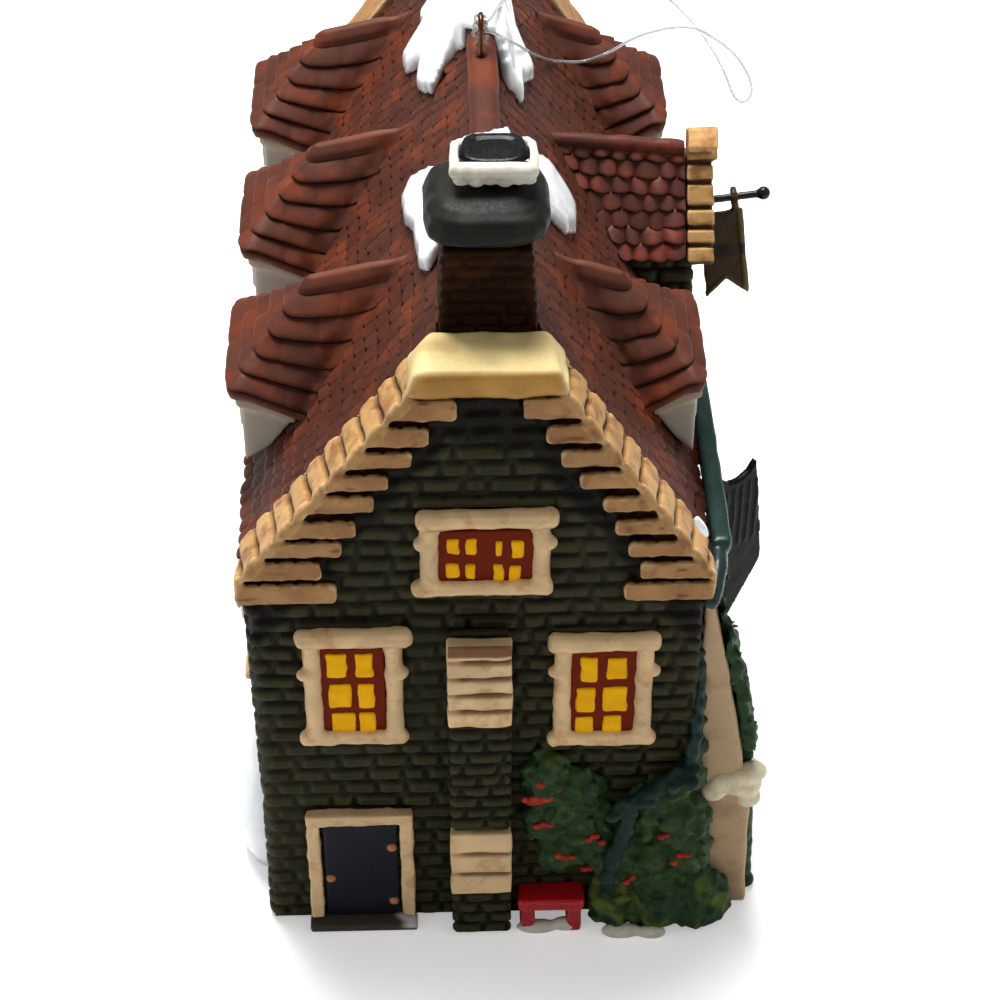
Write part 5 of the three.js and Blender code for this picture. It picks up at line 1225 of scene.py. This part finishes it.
# %% Pier stones
# Each band of stones on the pier: its foot, its top and how many stones it has
PIER_BANDS = {"upper": (32.8, 44.4, 5), "lower": (6.8, 16.4, 3)}
for order, (word, (low, high, count)) in enumerate(PIER_BANDS.items()):
    node = f"pier_{word}_stones"
    stones = cast(f"dressed_{node}", [node], 0.18, 4)
    points, normals = read(stones)
    shape(stones, lambda p: 0.14 * wander(p, 1.6, 44 + order))
    half, middle = (high - low) / 2, (low + high) / 2
    near = np.abs(np.mod((points[:, 2] - low) / (high - low) * count + 0.5, 1) - 0.5) * (high - low) / count
    groove = np.exp(-(near / 0.34) ** 2) * ease(points[:, 0] + 0.6 * wander(points, 1.5, 46), -2.3, -1.2)
    ends = ease(-np.abs(points[:, 2] - middle), 0.4 - half, 1.2 - half)
    crown = 1.2 * ease(points[:, 2], 42.7, 43.1) * (normals[:, 1] < -0.5)
    mark(stones, stain=np.clip(groove * ends * (normals[:, 1] < -0.3) + crown, 0, 1) * 0.9,
         tone=0.5 * wander(points, 2.2, 47))
    settle(stones, frame_paint, "window_stone_paint", node)

# %% Doors, step and bench
door_paint = painted("navy door paint on bisque", "#10121d", "#a8704a", "#05060a", "#242836",
                     roughness=0.4, patch_size=3, patch_share=-1, pool=0.06, rub_share=0.25)
dress_stone("door_surround", ["side_door_frame"], "side_door_frame", uneven=0.12, seed=50)
leaf = cast("door_leaf", ["side_door_leaf"], 0.2, 3)
points, _ = read(leaf)
mark(leaf, second=ease(-points[:, 1], 45.22, 45.36))
settle(leaf, door_paint, "dark_wood_paint", "side_door_leaf")
street_leaf = cast("street_door_leaf", ["street_door"], 0.25, 3)
points, _ = read(street_leaf)
beside, above = ease(np.abs(points[:, 1] - CROSS_Y), 3.2, 3.4), ease(points[:, 2], 14.0, 14.2)
mark(street_leaf, second=np.maximum(beside, above))
settle(street_leaf, door_paint, "dark_wood_paint", "street_door")
step_paint = painted("grey step paint with snow", "#3f3a33", "#c9c8c2", "#171410", "#6a655c",
                     patch_size=3, patch_share=-1, pool=0.08)
step = cast("door_step", ["side_door_step"], 0.25, 5)
points, _ = read(step)
mark(step, second=ease(points[:, 0] + 1.2 * wander(points, 2, 52), -9.5, -8.2) * ease(points[:, 2], 0.3, 0.7))
settle(step, step_paint, "grey_stone_paint", "side_door_step", reach=5)
bench_paint = painted("red bench enamel on bisque", "#a8101a", "#860a10", "#300304", "#d83c34",
                      roughness=0.28, patch_size=2, patch_share=0.2, pool=0.07, coat=0.5)
BENCH_SQUAT = 0.8
bench = cast("bench_cast", ["garden_bench"], 0.22, 6)
shape(bench, lambda p: 0.15 + 0.1 * wander(p, 1.6, 53))
for vertex in bench.data.vertices:
    vertex.co.z *= BENCH_SQUAT
settle(bench, bench_paint, "bench_paint", "garden_bench", reach=5)

# %% [markdown]
# ## Plants
# The climbing plants are clumps of small leaves, painted in three greens, with red berries and a teal
# stem. Hundreds of single leaves would be thinner than the clay allows, so small flat eggs are scattered
# on the measured clumps and melted into them, which leaves a leafy relief.

# %% Leaves
foliage_paint = painted("green foliage paint on bisque", "#1c3419", "#4c5822", "#070f07", "#38582e",
                        patch_size=2.2, patch_share=0.15, pool=0.06, stroke=0.5)
stem_paint = painted("dark teal stem paint on bisque", "#0e211b", "#153028", "#040807", "#26463c",
                     roughness=0.42, patch_size=2, pool=0.06, rub_share=0.3)
berry_paint = painted("red berry paint on bisque", "#84200f", "#a8361a", "#2a0904", "#b8553c",
                      roughness=0.4, patch_size=1, pool=0.06)


def scatter_leaves(node, count, seed):
    """Flat eggs set at even chances on the faces of a measured piece, each turned its own way."""
    dice = np.random.default_rng(seed)
    form = bmesh.new()
    form.from_mesh(nodes[node].data)
    bmesh.ops.triangulate(form, faces=form.faces)
    corners = np.array([[v.co for v in face.verts] for face in form.faces]) / MM
    form.free()
    cross = np.cross(corners[:, 1] - corners[:, 0], corners[:, 2] - corners[:, 0])
    area = np.linalg.norm(cross, axis=1)
    leaves = []
    for pick in dice.choice(len(corners), count, p=area / area.sum()):
        a, b = sorted(dice.uniform(0, 1, 2))
        place = corners[pick, 0] * a + corners[pick, 1] * (b - a) + corners[pick, 2] * (1 - b)
        out = cross[pick] / area[pick]
        if out[1] > 0.5 or place[2] < 0.3:
            continue
        out = out + dice.normal(0, 0.35, 3)
        out /= np.linalg.norm(out)
        tip = np.cross(out, dice.normal(0, 1, 3))
        tip /= np.linalg.norm(tip)
        turn = np.stack([tip, np.cross(out, tip), out], 1)
        length = dice.uniform(0.75, 1.15)
        leaves.append(lump(place + 0.12 * out, (length, 0.55 * length, 0.32 * length), turn))
    return leaves


plants = cast("plant_clumps", ["climbing_plants", *scatter_leaves("climbing_plants", 620, 61)],
              0.24, 2)
points, normals = read(plants)
shape(plants, lambda p: 0.12 * wander(p, 0.8, 62))
low_bush = ease(-points[:, 2] + 1.5 * wander(points, 2, 63), -8.5, -5.5)
# The yellow green falls more on leaves that face up, which is partly painted highlight
sunny = ease(wander(points, 1.3, 64) + 0.4 * normals[:, 2], 0.1, 0.6)
mark(plants, second=np.clip(0.75 * low_bush * sunny + 0.3 * sunny, 0, 1),
     tone=0.4 * wander(points, 1.2, 65))
settle(plants, foliage_paint, "foliage_paint", "climbing_plants", reach=5)

# Each branch: its points, and its radius at each of them
BRANCHES = [
    ([(14.2, -46.6, 8.5), (14.8, -47.2, 12.5), (15.8, -47.1, 16.2), (16.6, -46.8, 19.4)],
     [1.1, 1.0, 0.9, 0.8]),
    ([(15.0, -46.4, 19.0), (17.4, -46.5, 20.8), (20.0, -46.2, 22.5), (23.4, -45.6, 25.0)],
     [0.8, 1.0, 1.1, 0.8]),
    ([(20.4, -46.1, 22.4), (21.6, -45.9, 25.0)], [0.9, 0.6]),
    ([(22.6, -45.3, 24.6), (23.3, -44.7, 29.5), (23.5, -43.6, 35.5), (23.6, -42.8, 41.0),
      (23.7, -42.2, 45.2)], [0.9, 0.6, 0.5, 0.45, 0.4]),
]
stem = cast("teal_stem", [
    *[roll(*branch) for branch in BRANCHES],
    *[lump((23.3 + 0.5 * CHANCE[i], -44.4 + 0.13 * i + 0.6 * CHANCE[i + 40], 25.0 + 0.95 * i),
           (0.8 + 0.3 * CHANCE[i + 80], 0.8, 0.8)) for i in range(21)],
    *[lump((14.5 + 1.05 * i, -46.7 + 0.5 * CHANCE[i + 90], 18.6 + 0.62 * i + 0.6 * CHANCE[i + 70]),
           (0.9, 0.7, 0.8)) for i in range(9)],
], 0.26, 2)
shape(stem, lambda p: 0.28 * wander(p, 1.0, 66))
settle(stem, stem_paint, "foliage_paint", reach=5)

BERRIES = [(7.0, 16.4), (12.3, 9.3), (22.0, 11.4), (9.4, 12.2), (20.6, 14.6), (16.9, 8.0), (12.6, 14.9)]
PATCH = [(5.9, 21.0), (6.7, 21.7), (7.4, 22.4), (6.4, 20.2), (8.0, 21.6), (7.2, 20.8), (8.9, 22.6)]
tree_of_leaves = kdtree.KDTree(len(points))
for index, point in enumerate(points):
    tree_of_leaves.insert((point[0], -100 * (normals[index][1] > 0.1), point[2]), index)
tree_of_leaves.balance()
berries = []
for count, (x, z) in enumerate(BERRIES + PATCH):
    nearest = points[tree_of_leaves.find((x, 0, z))[1]]
    for twin in range(3 if count < len(BERRIES) else 1):
        size = 0.55 if count < len(BERRIES) else 0.75
        berries.append(lump((x + 0.7 * twin - 0.6, nearest[1] + 0.05, z + 0.7 * CHANCE[count * 3 + twin]),
                            (size, 0.3, 0.8 * size)))
fruit = cast("red_berries", berries, 0.14, 1)
settle(fruit, berry_paint, "foliage_paint", reach=3)

# %% [markdown]
# ## Buttress, gutter and ivy
# The buttress at the street corner is plain tan render. Ivy runs up the wall beside it and along its
# outer edge, snow lies on its shoulder, and a teal gutter ends in a round drop at the gable.

# %% Buttress and gutter
buttress_paint = painted("tan render paint on bisque", "#a98f6e", "#94785a", "#4a3722", "#c8b490",
                         patch_size=5, patch_share=0.35, pool=0.1, rub_share=0.3)
buttress = cast("buttress_render", ["corner_buttress"], 0.36, 6)
shape(buttress, lambda p: 0.15 * wander(p, 3.5, 70))
settle(buttress, buttress_paint, "buttress_paint", "corner_buttress", reach=6)

BUTTRESS_EDGE = [(25.2, 40.5), (26.2, 35.5), (27.6, 29.8), (28.8, 24.0),
                 (29.3, 21.0), (30.0, 15.0), (30.2, 8.0), (30.4, 1.2)]
edge_ivy = cast("edge_ivy", [
    "buttress_ivy", *scatter_leaves("buttress_ivy", 120, 71),
    roll([(x - 0.1, -40.4, z) for x, z in BUTTRESS_EDGE], [0.5, 0.6, 0.75, 0.9, 0.8, 0.8, 0.9, 1.0]),
    *[lump((x + 0.4 * CHANCE[i + 9], -40.6 + 0.7 * CHANCE[i + 19], z + 1.2 * CHANCE[i + 29]), (0.8, 1.0, 1.1))
      for i, (x, z) in enumerate(BUTTRESS_EDGE * 3)],
], 0.28, 2)
points, _ = read(edge_ivy)
shape(edge_ivy, lambda p: (np.where(p[:, 2] < 0.4, 0.0, 0.15) * wander(p, 1.1, 72)
                           - 0.7 * ease(p[:, 2], 36, 42)))
mark(edge_ivy, tone=0.7 * wander(points, 1.3, 73))
settle(edge_ivy, foliage_paint, "foliage_paint", "buttress_ivy", reach=5)

gutter_paint = painted("teal gutter paint on bisque", "#152a27", "#1e3834", "#081211", "#385852",
                       roughness=0.35, patch_size=4, pool=0.07, rub_share=0.3, coat=0.2)
GUTTER_END = [(25.0, -38.0, 49.2), (24.7, -41.0, 48.9), (24.2, -43.2, 48.3), (23.8, -44.4, 47.4),
              (23.6, -44.7, 46.7)]
gutter = cast("gutter_cast", ["street_gutter", roll(GUTTER_END, [1.0, 1.0, 0.95, 0.9, 0.7])], 0.3, 5)
shape(gutter, lambda p: 0.08 * wander(p, 2.4, 74))
settle(gutter, gutter_paint, "gutter_paint", "street_gutter", reach=5)

# %% [markdown]
# ## Snow
# The snow on the roof and on the ground is glazed: thick, smooth and white, with round drops at its edge
# and a clear highlight. A glaze has a roughness near 0.2 and a coat. The snow is cast from the measured
# patches and softened many times, which gives the round edge. On the ledge and the pot it is painted.

# %% Snow
snow_glaze = painted("white snow glaze", "#eef2f4", "#e6ebee", "#b4bec6", "#ffffff", roughness=0.2,
                     patch_size=6, patch_share=0.3, pool=0.16, rub_share=0.2, stroke=1.2, coat=0.6,
                     sheen=0.5)
old_snow = painted("grey white snow paint", "#d2cdc0", "#bdb5a2", "#80735f", "#ece8de", roughness=0.35,
                   patch_size=2.4, patch_share=0.4, pool=0.1, rub_share=0.3, coat=0.2)
ledge_paint = painted("cream ledge snow paint", "#cfc4a6", "#bca984", "#806a48", "#ece6d4",
                      roughness=0.35, patch_size=2.0, pool=0.1, rub_share=0.4, coat=0.2)


def lay_snow(name, sources, glaze_paint, slot, *replaced, voxel=0.3, rounds=14, swell=0.3):
    """Snow melted from shapes, much softened and swollen a little."""
    snow = cast(name, sources, voxel, rounds)
    shape(snow, lambda p: np.where(p[:, 2] < 0.35, 0.0, swell) + 0.1 * wander(p, 2.6, 80))
    settle(snow, glaze_paint, slot, *replaced, reach=8)


for word in ("front", "rear"):
    lay_snow(f"ridge_snow_{word}_glazed", [f"ridge_snow_{word}"], snow_glaze, "snow_glaze",
             f"ridge_snow_{word}")
lay_snow("drift_glazed", ["snow_drift"], snow_glaze, "snow_glaze", "snow_drift", voxel=0.4, rounds=8)
LEDGE_LUMPS = [(26.6, -43.2, 19.8), (27.9, -43.2, 19.2), (29.2, -43.0, 18.6), (29.6, -42.8, 16.9),
               (25.6, -43.4, 18.6), (28.9, -43.0, 20.6), (30.0, -42.6, 20.6)]
lay_snow("ledge_snow_cast", [
    roll([(29.9, y, 18.8) for y in np.linspace(-43.0, -39.6, 8)], 1.2),
    *[lump(place, (1.5, 1.2, 1.3)) for place in LEDGE_LUMPS],
], ledge_paint, "ledge_snow_paint", "ledge_snow", voxel=0.28, rounds=7, swell=0.05)
FOOT_LUMPS = [((16.0, -47.6, 0.5), (2.4, 1.0, 0.9)), ((19.2, -47.9, 0.5), (1.8, 0.8, 0.8)),
              ((6.6, -46.6, 0.4), (2.6, 1.0, 0.8)), ((9.6, -46.4, 0.5), (1.6, 0.9, 0.9))]
lay_snow("foot_snow", [lump(*place_and_half) for place_and_half in FOOT_LUMPS], old_snow, "ledge_snow_paint",
         voxel=0.22, rounds=3, swell=0.0)
KNEELER = [(21.6, -44.6, 58.7), (22.0, -44.7, 57.9), (22.4, -44.7, 57.1), (22.8, -44.7, 56.3)]
lay_snow("kneeler_snow", [roll(KNEELER, [0.25, 0.42, 0.4, 0.2])], snow_glaze, "snow_glaze",
         voxel=0.14, rounds=4, swell=0.0)

# %% [markdown]
# ## Chimney top
# The cap bulges like a cushion and is almost black, with a satin sheen. The pot's mouth is filled with
# black gloss, and grey white snow hangs over its rim in drops.

# %% Chimney top
soot_paint = painted("dark olive chimney paint on bisque", "#1a1a15", "#25251e", "#080806", "#3c3c33",
                     roughness=0.52, patch_size=3, pool=0.1, rub_share=0.3)
soot = painted("black gloss", "#090a09", "#131413", "#040404", "#2c2c2c", roughness=0.3, pool=0.1)
cap_top = cast("chimney_cap_cast", ["chimney_cap"], 0.26, 4)
shape(cap_top, lambda p: (0.12 * wander(p * (0.35, 1, 1.6), 1.6, 90)
                          + 0.12 * wander(p * (0.2, 0.6, 3), 2.2, 91)))
mark(cap_top, tone=0.8 * wander(read(cap_top)[0] * (0.3, 0.6, 3), 1.2, 92))
settle(cap_top, soot_paint, "grey_stone_paint", "chimney_cap", reach=5)
pot = cast("chimney_pot_cast", ["chimney_pot", lump((2.2, -33.7, 93.8), (3.6, 2.75, 0.36))], 0.18, 3)
settle(pot, soot, "grey_stone_paint", "chimney_pot", reach=5)
POT_FRONT, POT_BACK = -36.0, -31.5
# Drops of snow on the pot's front: x and length
DROPS = [(-0.9, 0.35), (0.5, 0.5), (1.8, 0.3), (3.1, 0.55), (4.4, 0.35), (5.3, 0.3)]
lay_snow("pot_rim_snow", [
    roll([(x, POT_FRONT, 93.25) for x in np.linspace(-1.2, 5.5, 12)], 0.8),
    *[lump((x, POT_FRONT, 93.2), (0.7, 0.6, 0.8)) for x in (-1.3, 5.6)],
    roll([(-1.45, POT_FRONT, 93.4), (-1.5, -34.0, 93.5), (-1.4, -31.6, 93.5)], [0.45, 0.45, 0.42]),
    roll([(5.75, POT_FRONT, 93.4), (5.8, -34.0, 93.5), (5.7, -31.6, 93.5)], [0.5, 0.5, 0.45]),
    roll([(x, POT_BACK, 93.45 + 0.03 * x) for x in np.linspace(-1.2, 5.6, 12)], 0.45),
    *[lump((x, POT_FRONT - 0.2, 92.4 - 0.2 * size), (0.75, 0.5, size)) for x, size in DROPS]],
    old_snow, "snow_glaze", "pot_snow", voxel=0.16, rounds=4, swell=0.05)

# %% [markdown]
# ## Banner, shield sign and wire
# The banner and the sign are thin castings on black rods. The banner is dark bronze with a pale border
# on its outer edges. The sign is black with worn bars and one olive spot, and it carries no words. The
# hanger is a hairpin of dark wire.

# %% Banner and rod
iron_paint = painted("black iron paint", "#100f0c", "#1c1a15", "#040403", "#34322c", roughness=0.35,
                     patch_size=2, pool=0.05, rub_share=0.3, coat=0.2)
bronze_paint = painted("dark bronze paint on bisque", "#3a270d", "#625c38", "#120b04", "#8a6c34",
                       roughness=0.42, patch_size=3, patch_share=-1, pool=0.05, rub_share=0.4)
rod = cast("banner_rod_cast", ["banner_rod"], 0.16, 2)
settle(rod, iron_paint, "black_metal", "banner_rod")
ROD_TILT = math.atan2(1.3, 9.8)
BANNER_HALF = 2.45
banner = cast("banner_cast", ["banner"], 0.15, 3)
points, _ = read(banner)
along = points[:, 0] * math.cos(ROD_TILT) + points[:, 2] * math.sin(ROD_TILT)
up = points[:, 2] * math.cos(ROD_TILT) - points[:, 0] * math.sin(ROD_TILT)
across = along - (along.max() + along.min()) / 2
right_edge = ease(across, 1.85, 2.05) * (up < up.max() - 2.2)
foot_edge = 1 - ease(up - up.min() - 2.4 * (1 - np.abs(across) / BANNER_HALF), 0.35, 0.6)
shape(banner, lambda p: 0.08 * wander(p, 1.4, 92) + 0.1 * np.maximum(right_edge, foot_edge))
mark(banner, second=np.clip(0.8 * right_edge + 0.4 * foot_edge, 0, 1),
     stain=0.8 * ease(up - up.min(), 5.0, 5.6) * ease(up.min() - up, -7.2, -6.6))
settle(banner, bronze_paint, "banner_paint", "banner", body="banner")

# %% Shield sign
sign_paint = painted("black sign enamel", "#060604", "#3c4412", "#010101", "#141410", roughness=0.45,
                     patch_size=2, patch_share=-1, pool=0.04, rub_share=0.45, sheen=0.08)
SIGN_PIN = np.array([24.5, -26.5])
SIGN_ANGLE = math.radians(38)
SIGN_ALONG = (math.cos(SIGN_ANGLE), math.sin(SIGN_ANGLE))
SIGN_OUT = (-math.sin(SIGN_ANGLE), math.cos(SIGN_ANGLE))
BAR_PITCH = 1.15
SPOT_PLACE = (3.2, 33.2)
shield = cast("shield_cast", ["shield_sign"], 0.2, 3)
points, normals = read(shield)
along = (points[:, :2] - SIGN_PIN) @ SIGN_ALONG
square_on = ease(np.abs(normals[:, :2] @ SIGN_OUT), 0.6, 0.9)
bars = ease(np.cos(along * 2 * math.pi / BAR_PITCH + 0.6 * wander(points, 2, 93)), 0.0, 0.7)
bars = bars * ease(points[:, 2], 36.0, 37.0) * ease(-points[:, 2], -45.2, -44.6) * square_on
shape(shield, lambda p: 0.13 * bars + 0.04 * wander(p, 1.2, 94))
spot = 1 - ease(np.hypot(along - SPOT_PLACE[0], (points[:, 2] - SPOT_PLACE[1]) * 0.6), 1.2, 1.8)
mark(shield, second=np.clip(0.8 * spot * square_on, 0, 1))
settle(shield, sign_paint, "sign_enamel", "shield_sign", body="sign")
pin = cast("sign_pin_cast", ["sign_pin"], 0.18, 2)
settle(pin, iron_paint, "black_metal", "sign_pin")

# %% Wire hanger
wire, _, _ = new_material("dark bronze wire", Base_Color=srgb("#5a3a26"), Metallic=1.0, Roughness=0.34)
WIRE_X, WIRE_FRONT, WIRE_REAR, WIRE_FOOT, WIRE_TOP = 1.7, 0.45, 2.75, 83.7, 88.55
bow = (WIRE_REAR - WIRE_FRONT) / 2
hairpin = [(WIRE_X, WIRE_FRONT, z) for z in np.linspace(WIRE_FOOT, WIRE_TOP - bow, 8)]
hairpin += [(WIRE_X, (WIRE_FRONT + WIRE_REAR) / 2 - bow * math.cos(a), WIRE_TOP - bow + bow * math.sin(a))
            for a in np.linspace(0, math.pi, 13)[1:-1]]
hairpin += [(WIRE_X, WIRE_REAR, z) for z in np.linspace(WIRE_TOP - bow, WIRE_FOOT, 8)]
hook = new_piece("hairpin_wire", roll(hairpin, 0.3, 14))
settle(hook, wire, "hanger_bronze", "hanger_wire", reach=0)

# %% [markdown]
# ## Floor and light
# The photograph has a white ground with a soft grey shadow under the ornament, and soft light from
# above. A large lamp above the front and a weaker one on each side stand for softboxes, and the world
# gives the rest. The level is plain: a white card in this light renders just under white.

# %% Floor
FLOOR_HALF = 700
FLOOR_Z = -0.05
FLOOR_GLOW = 0.34
paper, tree, shader = new_material("white paper sweep", Base_Color=srgb("#f4f4f4"), Roughness=0.9,
                                   Emission_Color=(1, 1, 1, 1))
seen = add_node(tree, "ShaderNodeLightPath")
glow = add_node(tree, "ShaderNodeMath", {"operation": "MULTIPLY"}, {
    0: seen.outputs["Is Camera Ray"], 1: FLOOR_GLOW})
feed(tree, shader, {"Emission Strength": glow.outputs["Value"]})
corners = [(FLOOR_HALF * x, FLOOR_HALF * y, FLOOR_Z) for x, y in ((-1, -1), (1, -1), (1, 1), (-1, 1))]
floor = new_piece("floor", new_mesh("floor", corners, [(0, 1, 2, 3)]))
floor.data.materials.append(paper)

# %% World and lamps
scene.world = bpy.data.worlds.new("white room")
scene.world.use_nodes = True
tree = scene.world.node_tree
seen = add_node(tree, "ShaderNodeLightPath")
direct = add_node(tree, "ShaderNodeMath", {"operation": "MAXIMUM"}, {
    0: seen.outputs["Is Camera Ray"], 1: seen.outputs["Is Transmission Ray"]})
level = add_node(tree, "ShaderNodeMapRange", inputs={
    "Value": direct.outputs["Value"], "To Min": 0.3, "To Max": 1.0})
feed(tree, tree.nodes["Background"], {"Color": (1, 1, 1, 1), "Strength": level.outputs["Result"]})


def softbox(name, place, aim, width, height, power):
    """A rectangular lamp that looks at a point."""
    lamp = bpy.data.lights.new(name, "AREA")
    lamp.shape = "RECTANGLE"
    lamp.size, lamp.size_y = width, height
    lamp.energy = power
    holder = bpy.data.objects.new(name, lamp)
    holder.location = place
    holder.rotation_euler = (Vector(aim) - Vector(place)).to_track_quat("-Z", "Y").to_euler()
    scene.collection.objects.link(holder)


softbox("top softbox", (-0.04, 0.12, 0.5), (0, 0, 0.03), 0.22, 0.22, 4.2)
softbox("left softbox", (-0.45, -0.3, 0.3), (0, 0, 0.05), 0.3, 0.4, 0.35)
softbox("right softbox", (0.45, -0.2, 0.35), (0, 0, 0.05), 0.3, 0.4, 0.35)
scene.view_settings.view_transform = "Standard"
print("lamps:", len(bpy.data.lights))
